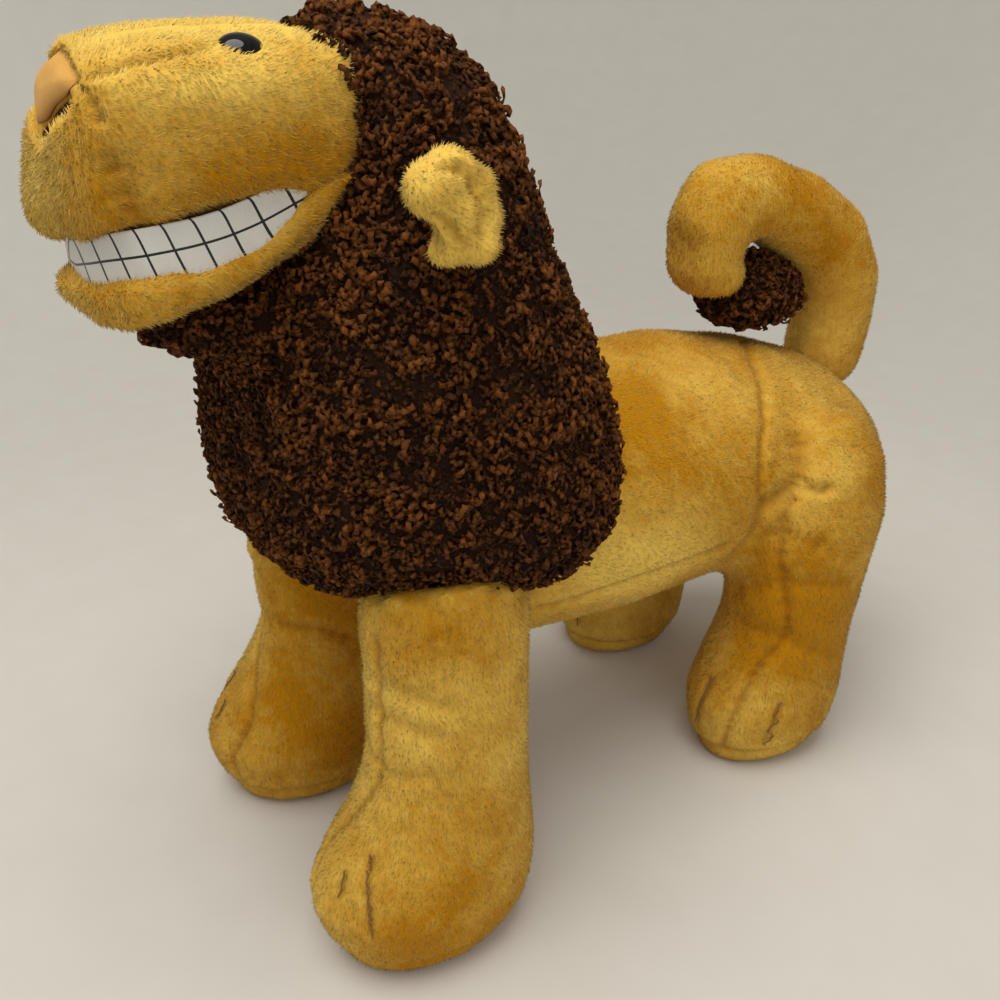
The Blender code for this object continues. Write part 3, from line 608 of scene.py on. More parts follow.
def sew(piece, line, depth, width, painted_shade=1.0, pucker=0.25):
    """Pulls the skin in along a line, and stores painted shade along the groove, which the finish paints
    darker.
    """
    points, normals = points_of(piece), normals_of(piece)
    close = laid_on(piece, line)
    distance, along = distance_to(points, close)
    wave = 1 + pucker * np.sin(along * 0.42 + 1.7 * np.sin(along * 0.11))
    ends = np.clip(np.minimum(along, len(close) - 1 - along) / 8.0 + 0.25, 0, 1)
    pull = np.exp(-((distance / width) ** 2)) * ends
    move_points(piece, points - normals * (depth * pull * wave)[:, None])
    if "seam" not in piece.data.attributes:
        piece.data.attributes.new("seam", "FLOAT", "POINT")
    layer = piece.data.attributes["seam"]
    before = np.empty(len(points), dtype=np.float32)
    layer.data.foreach_get("value", before)
    # painted shade in the groove, darkest along the line
    groove_shade = painted_shade * np.exp(-((distance / max(0.0011, width * 0.5)) ** 2)) * ends
    layer.data.foreach_set("value", np.maximum(before, groove_shade).astype(np.float32))


def ease(piece, moves):
    """Moves the skin a few millimetres round some places. Each move is a place, its reach and its way."""
    points = points_of(piece)
    shift = np.zeros_like(points)
    for place, reach, way in moves:
        nearness = np.exp(-(((points - place) / reach) ** 2).sum(axis=1))
        shift += nearness[:, None] * np.array(way)
    move_points(piece, points + shift)


def lap_over(piece, line, amount, width):
    """Lets the cloth above a line hang over it, like the edge of a flap."""
    points = points_of(piece)
    close = laid_on(piece, line)
    distance, nearest = distance_to(points, close)
    above = np.clip((points[:, 2] - close[nearest.astype(int), 2]) / 0.0012, 0, 1)
    points[:, 1] -= amount * above * np.exp(-((distance / width) ** 2))
    move_points(piece, points)


def seam_shade_values(piece):
    """How dark each point is painted with the shade of the seam groove that it is near, 0 where it is near
    none.
    """
    values = np.zeros(len(piece.data.vertices), dtype=np.float32)
    if "seam" in piece.data.attributes:
        piece.data.attributes["seam"].data.foreach_get("value", values)
    return values


def finish_skin(piece, material, shade=None):
    """Smooth shading, the finish, and the pile attribute that the finish reads."""
    piece.data.materials.clear()
    piece.data.materials.append(material)
    piece.data.shade_smooth()
    layer = piece.data.attributes.new("pile", "FLOAT_VECTOR", "POINT")
    values = np.zeros((len(piece.data.vertices), 3), dtype=np.float32)
    # the cloth is painted darker than the tufts on it, as painted shade among their roots
    if shade is None:
        shade = np.clip(nap_tone_and_painted_light(points_of(piece), normals_of(piece), NAP_SEED) - PAINTED_SHADE_UNDER_PILE, 0, 1)
    values[:, 1] = shade
    values[:, 2] = seam_shade_values(piece)
    layer.data.foreach_set("vector", values.ravel())


# %% [markdown]
# ## The trunk
# Torso, belly panel, rump and hind legs are sewn from one cloth and stuffed as one, so they are one skin
# here. The seams were read off the toy: the curved rump seam, the fold where the thigh meets the flank, the
# zig-zag front seam of the hind leg, the belly seam and the rim round each sole.

# %% Seam lines of the trunk
RUMP_SEAM = [
    (-0.0033, 0.1211, 0.2249), (0.0237, 0.1035, 0.2255), (0.0643, 0.0731, 0.1979), (0.0709, 0.0682, 0.1803),
    (0.0669, 0.0704, 0.1557), (0.0645, 0.0629, 0.1378),
]
THIGH_FOLD = [
    (0.0641, 0.0966, 0.1974), (0.0759, 0.0881, 0.1823), (0.0758, 0.0827, 0.1728), (0.0727, 0.0696, 0.1653),
]
THIGH_CREASE = [(0.0772, 0.0854, 0.177), (0.0859, 0.0929, 0.1729), (0.0893, 0.1015, 0.1758)]
HIND_FRONT_SEAM = [
    (0.0765, 0.0839, 0.1744), (0.0779, 0.0796, 0.1578), (0.0796, 0.0782, 0.1359), (0.0839, 0.0815, 0.113),
    (0.0869, 0.0827, 0.0893), (0.0809, 0.0732, 0.0728), (0.0794, 0.0613, 0.0477), (0.0752, 0.0593, 0.0235),
    (0.074, 0.058, 0.012),
]
HIND_WRINKLES = [
    [(0.0507, 0.076, 0.1037), (0.0828, 0.0809, 0.123), (0.0984, 0.1136, 0.1182)],
    [(0.0558, 0.0743, 0.0897), (0.0869, 0.0827, 0.0893), (0.0983, 0.1179, 0.0686)],
    [(0.0600, 0.0780, 0.1450), (0.0800, 0.0790, 0.1500), (0.0940, 0.0960, 0.1440)],
]
HIND_TOES = [
    [(0.0586, 0.0623, 0.0569), (0.0581, 0.0569, 0.0438), (0.0551, 0.0583, 0.0256)],
    [(0.0952, 0.0805, 0.0515), (0.0926, 0.0756, 0.0216)],
]
BELLY_SEAM = [
    (0.058, -0.06, 0.140), (0.0587, -0.0317, 0.1412), (0.0651, 0.0025, 0.1444), (0.0672, 0.0332, 0.145),
    (0.0688, 0.0577, 0.1463),
]

RIM_OUTSIDE = 1.05  # how far outside the sole the line starts, before it is laid on the skin


def sole_rim(node_name, height, count=28):
    """A closed line round a paw, a little above the ground."""
    low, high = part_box(node_name)
    middle, half = (low + high) / 2, (high - low) / 2
    turns = [2 * math.pi * i / count for i in range(count + 1)]
    wide, deep = half.x * RIM_OUTSIDE, half.y * RIM_OUTSIDE
    return [(middle.x + wide * math.cos(t), middle.y + deep * math.sin(t), height) for t in turns]


# %% Build the trunk
HIND_NODES = [
    f"hind_leg_{side}_{part}" for side in ("left", "right") for part in ("cover", "filling", "sole")
]
TRUNK_NODES = ["torso_cover", "torso_filling", "belly_panel", "hindquarters_cover"] + HIND_NODES
RIM_HEIGHT = 0.0120

trunk = one_skin("trunk_plush", TRUNK_NODES, voxel=0.0040, smoothing=9, lift=-0.0010)
side_seams = [RUMP_SEAM, HIND_FRONT_SEAM, BELLY_SEAM, THIGH_FOLD]
trunk_seams = side_seams + [mirrored(seam) for seam in side_seams]
trunk_rims = [sole_rim("hind_leg_left_sole", RIM_HEIGHT), sole_rim("hind_leg_right_sole", RIM_HEIGHT)]
stuff(trunk, cap=0.0028, seams=trunk_seams + trunk_rims, pressure=12.0)
finer(trunk)
ease(
    trunk,
    [
        ((0.078, 0.085, 0.025), 0.048, (-0.0062, -0.0010, 0.0)),
        ((-0.078, 0.085, 0.025), 0.048, (-0.0045, 0.0030, 0.0)),
    ],
)
for flip in (list, mirrored):
    sew(trunk, flip(RUMP_SEAM), 0.0022, 0.0030, 0.7)
    sew(trunk, flip(THIGH_FOLD), 0.0040, 0.0050, 0.8)
    sew(trunk, flip(THIGH_CREASE), 0.0026, 0.0034, 0.7)
    sew(trunk, flip(HIND_FRONT_SEAM), 0.0024, 0.0030, 0.9)
    sew(trunk, flip(BELLY_SEAM), 0.0028, 0.0034, 0.9)
    for wrinkle in HIND_WRINKLES:
        sew(trunk, flip(wrinkle), 0.0016, 0.0056, 0.35)
    for toe in HIND_TOES:
        sew(trunk, flip(toe), 0.0018, 0.0022, 0.7)
for rim in trunk_rims:
    sew(trunk, rim, 0.0032, 0.0034, pucker=0.1)
finish_skin(trunk, golden)
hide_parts(*TRUNK_NODES)
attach(trunk, "root")
print("trunk:", len(trunk.data.polygons), "faces")

# %% [markdown]
# ## The front legs
# Each front leg is its own stuffed tube with a heavy paw. A seam runs down its front into the middle of the
# paw, a line of thread marks the toes, and a rolled rim joins the sole.

# %% Build the front legs
FRONT_SEAM = [
    (0.0699, -0.1456, 0.171), (0.0666, -0.1464, 0.145), (0.0671, -0.1481, 0.104), (0.0609, -0.1527, 0.086),
    (0.0471, -0.1634, 0.058), (0.0500, -0.1748, 0.037), (0.0520, -0.1760, 0.012),
]
FRONT_TOES = [
    [(0.0764, -0.1576, 0.0707), (0.0799, -0.1619, 0.0615), (0.0885, -0.1658, 0.0371)],
    [(0.0689, -0.1662, 0.060), (0.071, -0.171, 0.049)],
]
FRONT_WRINKLES = [
    [(0.0520, -0.1400, 0.1480), (0.0800, -0.1440, 0.1500), (0.0980, -0.1240, 0.1440)],
    [(0.0560, -0.1420, 0.1330), (0.0800, -0.1440, 0.1340), (0.0960, -0.1300, 0.1300)],
    [(0.0480, -0.1450, 0.1120), (0.0700, -0.1480, 0.1060), (0.0950, -0.1350, 0.1120)],
]
FAR_CREASE = [(-0.0473, -0.1429, 0.1106), (-0.0324, -0.1256, 0.1082), (-0.03, -0.1082, 0.0977)]

PAW_MOVES = {  # the lion stands a little crooked, so each paw has its own way to go
    "left": [
        ((0.055, -0.165, 0.030), 0.034, (-0.0035, -0.0030, 0.0)),
        ((0.100, -0.130, 0.030), 0.028, (-0.0015, -0.0010, 0.0)),
    ],
    "right": [
        ((-0.075, -0.165, 0.030), 0.035, (-0.0020, -0.0035, 0.0)),
        ((-0.078, -0.130, 0.105), 0.028, (0.0055, 0.0040, 0.0)),
    ],
}

LEG_TOP, TOP_STRETCH = 0.160, 0.6  # above this height a leg is drawn up into the chest by this share

front_legs = {}
for side, flip in (("left", list), ("right", mirrored)):
    names = [f"front_leg_{side}_{part}" for part in ("cover", "filling", "sole")]
    leg = one_skin(f"front_leg_{side}_plush", names, voxel=0.0034, smoothing=9, lift=-0.0010)
    rim = sole_rim(f"front_leg_{side}_sole", RIM_HEIGHT)
    stuff(leg, cap=0.0026, seams=[flip(FRONT_SEAM), rim], pressure=12.0)
    finer(leg)
    points = points_of(leg)
    points[:, 2] += np.clip(points[:, 2] - LEG_TOP, 0, 1) * TOP_STRETCH
    move_points(leg, points)
    ease(leg, PAW_MOVES[side])
    sew(leg, flip(FRONT_SEAM), 0.0024, 0.0030, 0.95)
    for toe in FRONT_TOES:
        sew(leg, flip(toe), 0.0018, 0.0022, 0.7)
    for wrinkle in FRONT_WRINKLES:
        sew(leg, flip(wrinkle), 0.0018, 0.0050, 0.35)
    sew(leg, FAR_CREASE if side == "right" else mirrored(FAR_CREASE), 0.0022, 0.0036, 0.8)
    sew(leg, rim, 0.0032, 0.0034, pucker=0.1)
    finish_skin(leg, golden)
    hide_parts(*names)
    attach(leg, "root")
    front_legs[side] = leg
    print(leg.name, len(leg.data.polygons), "faces")

# %% [markdown]
# ## The head
# The face is one soft box: a flat bridge on top, plump cheeks, a dart beside the nose and a crease at the
# front corner. The nose is a smoother patch let into the front, over two curved nostril slits.

# %% The line of the mouth
MOUTH_OUTLINE = [
    (0.0470, -0.1440), (0.0472, -0.1540), (0.0472, -0.1660), (0.0468, -0.1775), (0.0450, -0.1885),
    (0.0406, -0.1992), (0.0325, -0.2058), (0.0217, -0.2099), (0.0108, -0.2115), (0.0, -0.2119),
]
MOUTH_PLACES = [0.0, 0.0157, 0.0310, 0.0413, 0.0502, 0.0591, 0.0689, 0.0793, 0.0903, 0.0965, 0.1060]
MIDDLE_HEIGHTS = [0.3115, 0.3135, 0.3165, 0.3183, 0.3197, 0.3209, 0.3227, 0.3255, 0.3296, 0.3320, 0.3345]
CHEEK_LIFTS = [0.0015, 0.0010, 0.0030, 0.0024, 0.0018, 0.0040, 0.0052, 0.0064, 0.0068, 0.0052, 0.0022]
LIP_TOPS = [0.3050, 0.3052, 0.3060, 0.3067, 0.3087, 0.3118, 0.3157, 0.3208, 0.3255, 0.3265, 0.3275]
LIP_LIFTS = [-0.0008, 0.0012, 0.0036, 0.0046, 0.0041, 0.0020, 0.0008, -0.0011, 0.0006, 0.0045, 0.0070]

mouth = np.array(MOUTH_OUTLINE + [(-x, y) for x, y in MOUTH_OUTLINE[-2::-1]])
reach = np.concatenate([[0.0], np.cumsum(np.linalg.norm(np.diff(mouth, axis=0), axis=1))])
reach -= reach[-1] / 2
MOUTH_STEPS = 240
mouth_steps = np.linspace(reach[0], reach[-1], MOUTH_STEPS)
mouth_line = np.stack(
    [np.interp(mouth_steps, reach, mouth[:, 0]), np.interp(mouth_steps, reach, mouth[:, 1]), mouth_steps * 0],
    axis=1,
)


def along_mouth(points):
    """How far round the mouth each point stands from its middle, in metres: below zero on the lion's left."""
    _, nearest = distance_to(points * (1, 1, 0), mouth_line)
    return mouth_steps[nearest.astype(int)]


def droop(along):
    """The smile hangs a little lower on the right of the muzzle."""
    return 0.0045 * np.exp(-(((along - 0.025) / 0.028) ** 2))


def between(values, start, end):
    """From 0 at the start to 1 at the end, smoothly."""
    part = np.clip((values - start) / (end - start), 0, 1)
    return part * part * (3 - 2 * part)


# %% Build the face
BRIDGE_FRONT = [
    (0.0, -0.2051, 0.3765), (0.0051, -0.2051, 0.376), (0.0219, -0.2073, 0.3722), (0.0345, -0.208, 0.3672),
]
BRIDGE_SIDE = [
    (0.0360, -0.2063, 0.3690), (0.0417, -0.195, 0.3737), (0.0419, -0.1803, 0.3764), (0.040, -0.1689, 0.3783),
]
NOSTRIL = [(0.0029, -0.2161, 0.3519), (0.012, -0.2145, 0.3578), (0.0279, -0.2115, 0.3638)]
DART = [(0.039, -0.2076, 0.3652), (0.0416, -0.2077, 0.3606), (0.0423, -0.2082, 0.356)]
CORNER_CREASE = [
    (0.0441, -0.2066, 0.3506), (0.045, -0.2055, 0.3424), (0.0454, -0.2038, 0.3366), (0.0401, -0.2012, 0.3253),
]

FACE_NODES = ["face_cover", "bridge_panel", "head_filling"]
CHEEK_FIXED, CHEEK_MOVED = 0.347, 0.327  # the lift of the cheek's edge dies away between these heights
JAW_REAR, JAW_FRONT = -0.118, -0.140  # and between these places from back to front

face = one_skin("face_plush", FACE_NODES + ["nose_panel"], voxel=0.0028, smoothing=10, lift=-0.0008)
face_seams = [flip(seam) for seam in (BRIDGE_FRONT, BRIDGE_SIDE, DART) for flip in (list, mirrored)]
stuff(face, cap=0.0022, seams=face_seams, pressure=8.0)
finer(face)
points = points_of(face)
along = along_mouth(points)
lift = np.interp(np.abs(along), MOUTH_PLACES, CHEEK_LIFTS) - droop(along)
near_edge = between(points[:, 2], CHEEK_FIXED, CHEEK_MOVED) * between(points[:, 1], JAW_REAR, JAW_FRONT)
points[:, 2] += lift * near_edge
move_points(face, points)
ease(face, [
    ((-0.036, -0.200, 0.374), 0.022, (0.0060, 0.0040, -0.0010)),
    ((-0.038, -0.203, 0.356), 0.014, (0.0025, 0.0015, 0.0)),
    ((-0.022, -0.209, 0.322), 0.020, (-0.0020, -0.0048, -0.0010)),
])
for flip in (list, mirrored):
    sew(face, flip(BRIDGE_FRONT), 0.0026, 0.0024, 1.0)
    sew(face, flip(BRIDGE_SIDE), 0.0020, 0.0022, 0.8)
    sew(face, flip(DART), 0.0022, 0.0026, 0.8)
    sew(face, flip(CORNER_CREASE), 0.0034, 0.0058, 0.5)
    # the nostril slit's groove takes a strong painted shadow
    sew(face, flip(NOSTRIL), 0.0046, 0.0034, 6.0, pucker=0.0)
    lap_over(face, flip(BRIDGE_FRONT), 0.0022, 0.0060)
finish_skin(face, golden)
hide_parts(*FACE_NODES)
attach(face, "root")
print("face:", len(face.data.polygons), "faces")

# %% [markdown]
# The nose is a patch of smoother cloth between the bridge's front edge and the nostril slits. It starts as
# a grid, is laid on the face by casting rays from in front, and is given a thickness, so that its edge is a
# crisp seam.

# %% Build the nose patch
NOSE_HALF_WIDTH = 0.0290
NOSE_STANDS_OFF, NOSE_THICKNESS, NOSE_ROUNDING = 0.0009, 0.0022, 0.0005
RAY_START_Y = -0.30


def nose_edges(across):
    """The lower and upper edge of the nose patch, at a distance from the middle."""
    lower = np.interp(across, [0.0, 0.0029, 0.012, 0.0279, 0.0290], [0.3512, 0.3519, 0.3578, 0.3638, 0.3650])
    upper = np.interp(across, [0.0, 0.0051, 0.0219, 0.0290], [0.3766, 0.3762, 0.3730, 0.3706])
    return lower + 0.0018, upper - 0.0010


select_only()
bpy.ops.mesh.primitive_grid_add(x_subdivisions=40, y_subdivisions=18, size=2.0, location=(0, 0, 0))
nose = bpy.context.object
nose.name = nose.data.name = "nose_patch"
face.data.calc_loop_triangles()
face_skin = tree_of(face)
laid, painted_slit_shade = [], []
for across, up, _ in points_of(nose):
    # painted shade on the nose patch, darkest along its lower edge by the nostril slit
    painted_slit_shade.append(0.8 * np.clip(1 - (up + 1) / 0.35, 0, 1) + 0.2 * (up < -0.1))
    x = across * NOSE_HALF_WIDTH
    lower, upper = nose_edges(abs(x))
    z = lower + (upper - lower) * (up + 1) / 2
    struck, way, _, _ = face_skin.ray_cast(Vector((x, RAY_START_Y, z)), Vector((0, 1, 0)))
    laid.append(struck + way * NOSE_STANDS_OFF)
move_points(nose, np.array([p.to_tuple() for p in laid]))
nose.data.attributes.new("seam", "FLOAT", "POINT").data.foreach_set("value", np.array(painted_slit_shade, dtype=np.float32))
select_only(nose)
bpy.ops.object.mode_set(mode="EDIT")
bpy.ops.mesh.select_all(action="SELECT")
bpy.ops.mesh.vertices_smooth(factor=0.5, repeat=6)
bpy.ops.object.mode_set(mode="OBJECT")
faces_front = normals_of(nose)[:, 1].mean() < 0
apply_modifier(nose, "SOLIDIFY", thickness=NOSE_THICKNESS, offset=-1.0 if faces_front else 1.0)
apply_modifier(nose, "BEVEL", width=NOSE_ROUNDING, segments=2)
finish_skin(nose, nose_velvet)
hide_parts("nose_panel")
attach(nose, "root")
print("nose patch:", [round(v * 1000) for v in nose.dimensions], "mm")

# %% [markdown]
# The lower lip is a stuffed roll. Its top follows the band of teeth, and its ends run up behind the corners
# of the mouth to the cheeks.

# %% Build the lower lip
LIP_REAR, LIP_REAR_LENGTH = -0.152, 0.014  # where the ends of the roll start to rise, and over what length
EDGE_DEPTH, EDGE_REST = 0.014, 0.004  # how far below its top the roll moves with the edge

lip = one_skin("lip_plush", ["lower_lip_cover", "lower_lip_filling"], voxel=0.0026, smoothing=7, lift=-0.0008)
stuff(lip, cap=0.0018)
finer(lip)
points = points_of(lip)
along = along_mouth(points)
top = np.interp(np.abs(along), MOUTH_PLACES, LIP_TOPS)
far_sag = 0.0085 * np.exp(-(((along - 0.045) / 0.018) ** 2))
lift = np.interp(np.abs(along), MOUTH_PLACES, LIP_LIFTS) - 1.2 * droop(along) - far_sag
points[:, 2] += lift * between(points[:, 2], top - EDGE_DEPTH, top - EDGE_REST)
rear = np.clip((points[:, 1] - LIP_REAR) / LIP_REAR_LENGTH, 0, 1)
points += np.stack([points[:, 0] * 0.03 * rear, 0.0090 * rear, 0.0055 * rear**2], axis=1)
move_points(lip, points)
ease(lip, [((side * 0.0470, -0.1400, 0.328), 0.012, (side * 0.0025, 0.0035, 0.0070)) for side in (1, -1)])
ease(lip, [((-0.008, -0.210, 0.301), 0.019, (-0.0030, -0.0068, 0.0010))])
ease(
    lip,
    [
        ((-0.010, -0.208, 0.292), 0.022, (0.0015, 0.0040, 0.0045)),
        ((0.030, -0.195, 0.291), 0.020, (0.0, 0.0010, 0.0035)),
    ],
)
finish_skin(lip, golden)
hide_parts("lower_lip_cover", "lower_lip_filling")
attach(lip, "root")
print("lip:", len(lip.data.polygons), "faces")

# %% [markdown]
# The teeth are one flat band of satin round the mouth. A grid is bent along the outline of the mouth and
# given a thickness. The count of teeth and the height above the middle line go with it, for the print.

# %% Build the band of teeth
BAND_BELOW, BAND_ABOVE, BAND_THICKNESS = 0.0145, 0.0105, 0.0014
CORNER_SHORTER = 0.0058  # how much less of the band hangs below the middle line at the mouth's corners
TOOTH_LINES = [0.0110, 0.0240, 0.0347, 0.0440, 0.0526, 0.0619, 0.0712, 0.0810, 0.0924, 0.1030]

select_only()
bpy.ops.mesh.primitive_grid_add(x_subdivisions=110, y_subdivisions=10, size=2.0, location=(0, 0, 0))
teeth = bpy.context.object
teeth.name = teeth.data.name = "teeth_satin"
flat = points_of(teeth)
along = flat[:, 0] * reach[-1]
below = BAND_BELOW - CORNER_SHORTER * between(np.abs(along), 0.055, 0.090)
above = (flat[:, 1] + 1) / 2 * (BAND_ABOVE + below) - below
place_x, place_y = np.interp(along, reach, mouth[:, 0]), np.interp(along, reach, mouth[:, 1])
height = np.interp(np.abs(along), MOUTH_PLACES, MIDDLE_HEIGHTS) - droop(along) + above
teeth_passed = np.interp(
    np.abs(along), [0.0, *TOOTH_LINES], [0.0, *(i + 0.5 for i in range(len(TOOTH_LINES)))],
)
move_points(teeth, np.stack([place_x, place_y, height], axis=1))
band_layer = teeth.data.attributes.new("band", "FLOAT_VECTOR", "POINT")
print_measure = np.stack([teeth_passed, above, along * 0], axis=1)
band_layer.data.foreach_set("vector", print_measure.astype(np.float32).ravel())
select_only(teeth)
bpy.ops.object.mode_set(mode="EDIT")
bpy.ops.mesh.select_all(action="SELECT")
bpy.ops.mesh.vertices_smooth(factor=0.5, repeat=8)
bpy.ops.object.mode_set(mode="OBJECT")
front = normals_of(teeth)[np.argmin(place_y)][1] < 0
apply_modifier(teeth, "SOLIDIFY", thickness=BAND_THICKNESS, offset=-1.0 if front else 1.0)
finer(teeth)
teeth.data.materials.clear()
teeth.data.materials.append(satin)
teeth.data.shade_smooth()
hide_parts("teeth_band")
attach(teeth, "root")
print("band of teeth:", round(float(reach[-1] * 2) * 1000), "mm round")

# %% [markdown]
# Each eye is a glossy black dome on a shank, pulled deep into the pile, so that only a narrow lens of it
# shows.

# %% Build the eyes
EYE_PLACE = (0.0370, -0.1602, 0.3748)
EYE_HALF_SIZE = (0.0070, 0.0079, 0.0050)
EYE_TURN = 24  # degrees outwards

for side, sign in (("left", 1), ("right", -1)):
    select_only()
    place = (EYE_PLACE[0] * sign, *EYE_PLACE[1:])
    bpy.ops.mesh.primitive_uv_sphere_add(segments=48, ring_count=28, radius=1.0, location=place)
    eye = bpy.context.object
    eye.name = eye.data.name = f"eye_{side}_dome"
    bpy.ops.transform.resize(value=EYE_HALF_SIZE)
    bpy.ops.transform.rotate(value=math.radians(-EYE_TURN * sign), orient_axis="Y", center_override=place)
    bpy.ops.object.transform_apply(location=True, rotation=True, scale=True)
    eye.data.shade_smooth()
    eye.data.materials.append(eye_black)
    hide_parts(f"eye_{side}")
    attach(eye, "root")
print("each eye is", round(EYE_HALF_SIZE[1] * 2000, 1), "mm long")

# %% [markdown]
# ## The tail
# The tail is a thick stuffed tube that curls over the rump, with its tip turned in and closed by a tuft.

# %% Build the tail
tail = one_skin("tail_plush", ["tail_cover", "tail_filling"], voxel=0.0030, smoothing=16, lift=-0.0004)
stuff(tail, cap=0.0018, pressure=8.0)
finer(tail)
ease(tail, [
    ((0.0, 0.080, 0.312), 0.022, (0.0, -0.0110, 0.0060)),
    ((0.0, 0.060, 0.273), 0.016, (0.0, 0.0035, 0.0045)),
    ((0.0, 0.082, 0.246), 0.020, (0.0, 0.0048, 0.0075)),
    ((0.0, 0.113, 0.249), 0.016, (0.0, 0.0072, 0.0055)),
    ((0.0, 0.118, 0.272), 0.013, (0.0, -0.0100, 0.0120)),
    ((0.0, 0.112, 0.318), 0.020, (0.0, 0.0, 0.0040)),
])
finish_skin(tail, golden)
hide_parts("tail_cover", "tail_filling")
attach(tail, "tail")
print("tail:", len(tail.data.polygons), "faces")

# %% [markdown]
# ## The ears
# An ear is a small cupped pad. Its outer rim curls round like a letter C, a plumper lobe fills the front of
# it, and a second lobe hangs below. Stretched spheres are set along that shape, and the remesh joins them
# into one soft skin.

# %% Build the ears
EAR_LOBES = [  # place, half sizes, turn about the X axis in degrees
    ((0.094, -0.1285, 0.3395), (0.0110, 0.0095, 0.0100), -30),
    ((0.092, -0.1190, 0.3435), (0.0105, 0.0100, 0.0075), -40),
    ((0.091, -0.1115, 0.3375), (0.0095, 0.0075, 0.0085), -40),
    ((0.093, -0.1100, 0.3290), (0.0095, 0.0070, 0.0090), 0),
    ((0.095, -0.1130, 0.3210), (0.0100, 0.0080, 0.0070), 20),
    ((0.097, -0.1200, 0.3315), (0.0080, 0.0085, 0.0110), -20),
    ((0.089, -0.1200, 0.3195), (0.0085, 0.0080, 0.0060), 20),
    ((0.082, -0.1160, 0.3330), (0.0110, 0.0080, 0.0110), 0),
]
EAR_FOLD = [
    (0.100, -0.1290, 0.3480), (0.101, -0.1225, 0.3460), (0.102, -0.1170, 0.3400), (0.102, -0.1150, 0.3330),
    (0.102, -0.1160, 0.3260),
]
EAR_UNDER = [(0.098, -0.1320, 0.3320), (0.100, -0.1260, 0.3290), (0.100, -0.1210, 0.3230)]

EAR_DRAWN_IN = 0.0012  # room for the pile

ears = {}
for side, flip in (("left", list), ("right", mirrored)):
    sign = 1 if side == "left" else -1
    lobes = []
    for place, half, turn in EAR_LOBES:
        select_only()
        bpy.ops.mesh.primitive_uv_sphere_add(
            segments=24, ring_count=14, radius=1.0, location=(place[0] * sign, *place[1:]),
        )
        lobe = bpy.context.object
        lobe.scale, lobe.rotation_euler = half, (math.radians(turn), 0.0, 0.0)
        bpy.ops.object.transform_apply(location=True, rotation=True, scale=True)
        lobes.append(lobe)
    select_only(*lobes)
    bpy.ops.object.join()
    ear = bpy.context.object
    ear.name = ear.data.name = f"ear_{side}_plush"
    apply_modifier(ear, "REMESH", mode="VOXEL", voxel_size=0.0018)
    keep_outer_skin(ear)
    apply_modifier(ear, "SMOOTH", factor=0.5, iterations=5)
    finer(ear)
    sew(ear, flip(EAR_FOLD), 0.0024, 0.0024, 0.8)
    sew(ear, flip(EAR_UNDER), 0.0024, 0.0028, 0.9)
    move_points(ear, points_of(ear) - normals_of(ear) * EAR_DRAWN_IN)
    finish_skin(ear, golden)
    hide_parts(f"ear_{side}")
    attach(ear, f"ear_{side}")
    ears[side] = ear
print("ears:", len(ear.data.polygons), "faces each")

# %% [markdown]
# ## The mane's backing
# The curls need a cloth to grow from, painted dark as the shade between the curls. It is the mane's own
# solid, drawn in a little so that the curls, and not the cloth, make the outline.

# %% Build the backing of the mane and of the tuft
# the backing is painted nearly black, as shade in the gaps between the curls
BACKING_PAINTED_SHADE = 0.4

mane = one_skin("mane_backing", ["mane_cover", "chest_filling"], voxel=0.0042, smoothing=6, lift=-0.0032)
ease(mane, [
    ((-0.018, -0.131, 0.377), 0.024, (0.0, 0.0095, 0.0)),
    ((0.085, -0.130, 0.178), 0.034, (-0.0020, 0.0020, 0.0140)),
    ((-0.085, -0.130, 0.178), 0.034, (0.0020, 0.0020, 0.0060)),
])
stuff(mane, cap=0.0010)
finish_skin(mane, yarn, BACKING_PAINTED_SHADE)
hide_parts("mane_cover", "chest_filling")
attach(mane, "root")

tuft = one_skin("tuft_backing", ["tail_tuft"], voxel=0.0026, smoothing=4, lift=-0.0010)
points = points_of(tuft)
middle = points.mean(axis=0)
move_points(tuft, middle + (points - middle) * (1.10, 1.30, 1.12) + (0.0, 0.0100, 0.0010))
finish_skin(tuft, yarn, BACKING_PAINTED_SHADE)
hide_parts("tail_tuft")
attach(tuft, "tail")
print("mane backing:", len(mane.data.polygons), "faces")

# %% [markdown]
# ## Planting pile and curls
# Both pile and curls are one small shape, planted thousands of times on a skin. Places are drawn at random
# over the skin's triangles and thinned to one for each small cube of space, so they are even without being
# in rows. Places inside another piece are left out, since nobody will see them.


# %% Draw places on a skin
def places_on(piece, spacing, seed):
    mesh = piece.data
    mesh.calc_loop_triangles()
    corners = np.empty(len(mesh.loop_triangles) * 3, dtype=np.int32)
    mesh.loop_triangles.foreach_get("vertices", corners)
    corners = corners.reshape(-1, 3)
    points, normals, seams = points_of(piece), normals_of(piece), seam_shade_values(piece)
    a, b, c = points[corners[:, 0]], points[corners[:, 1]], points[corners[:, 2]]
    area = np.linalg.norm(np.cross(b - a, c - a), axis=1) / 2
    draw = np.random.default_rng(seed)
    count = int(area.sum() / spacing**2 * 2.2)
    chosen = draw.choice(len(area), count, p=area / area.sum())
    first, second = draw.random(count), draw.random(count)
    over = first + second > 1
    first[over], second[over] = 1 - first[over], 1 - second[over]
    weights = np.stack([1 - first - second, first, second], axis=1)
    at = corners[chosen]
    place = (points[at] * weights[:, :, None]).sum(axis=1)
    normal = unit((normals[at] * weights[:, :, None]).sum(axis=1))
    seam = (seams[at] * weights).sum(axis=1)
    cell = np.floor(place / spacing).astype(np.int64)
    key = cell[:, 0] * 4000003 + cell[:, 1] * 2003 + cell[:, 2]
    _, kept = np.unique(key, return_index=True)
    return place[kept], normal[kept], seam[kept], draw


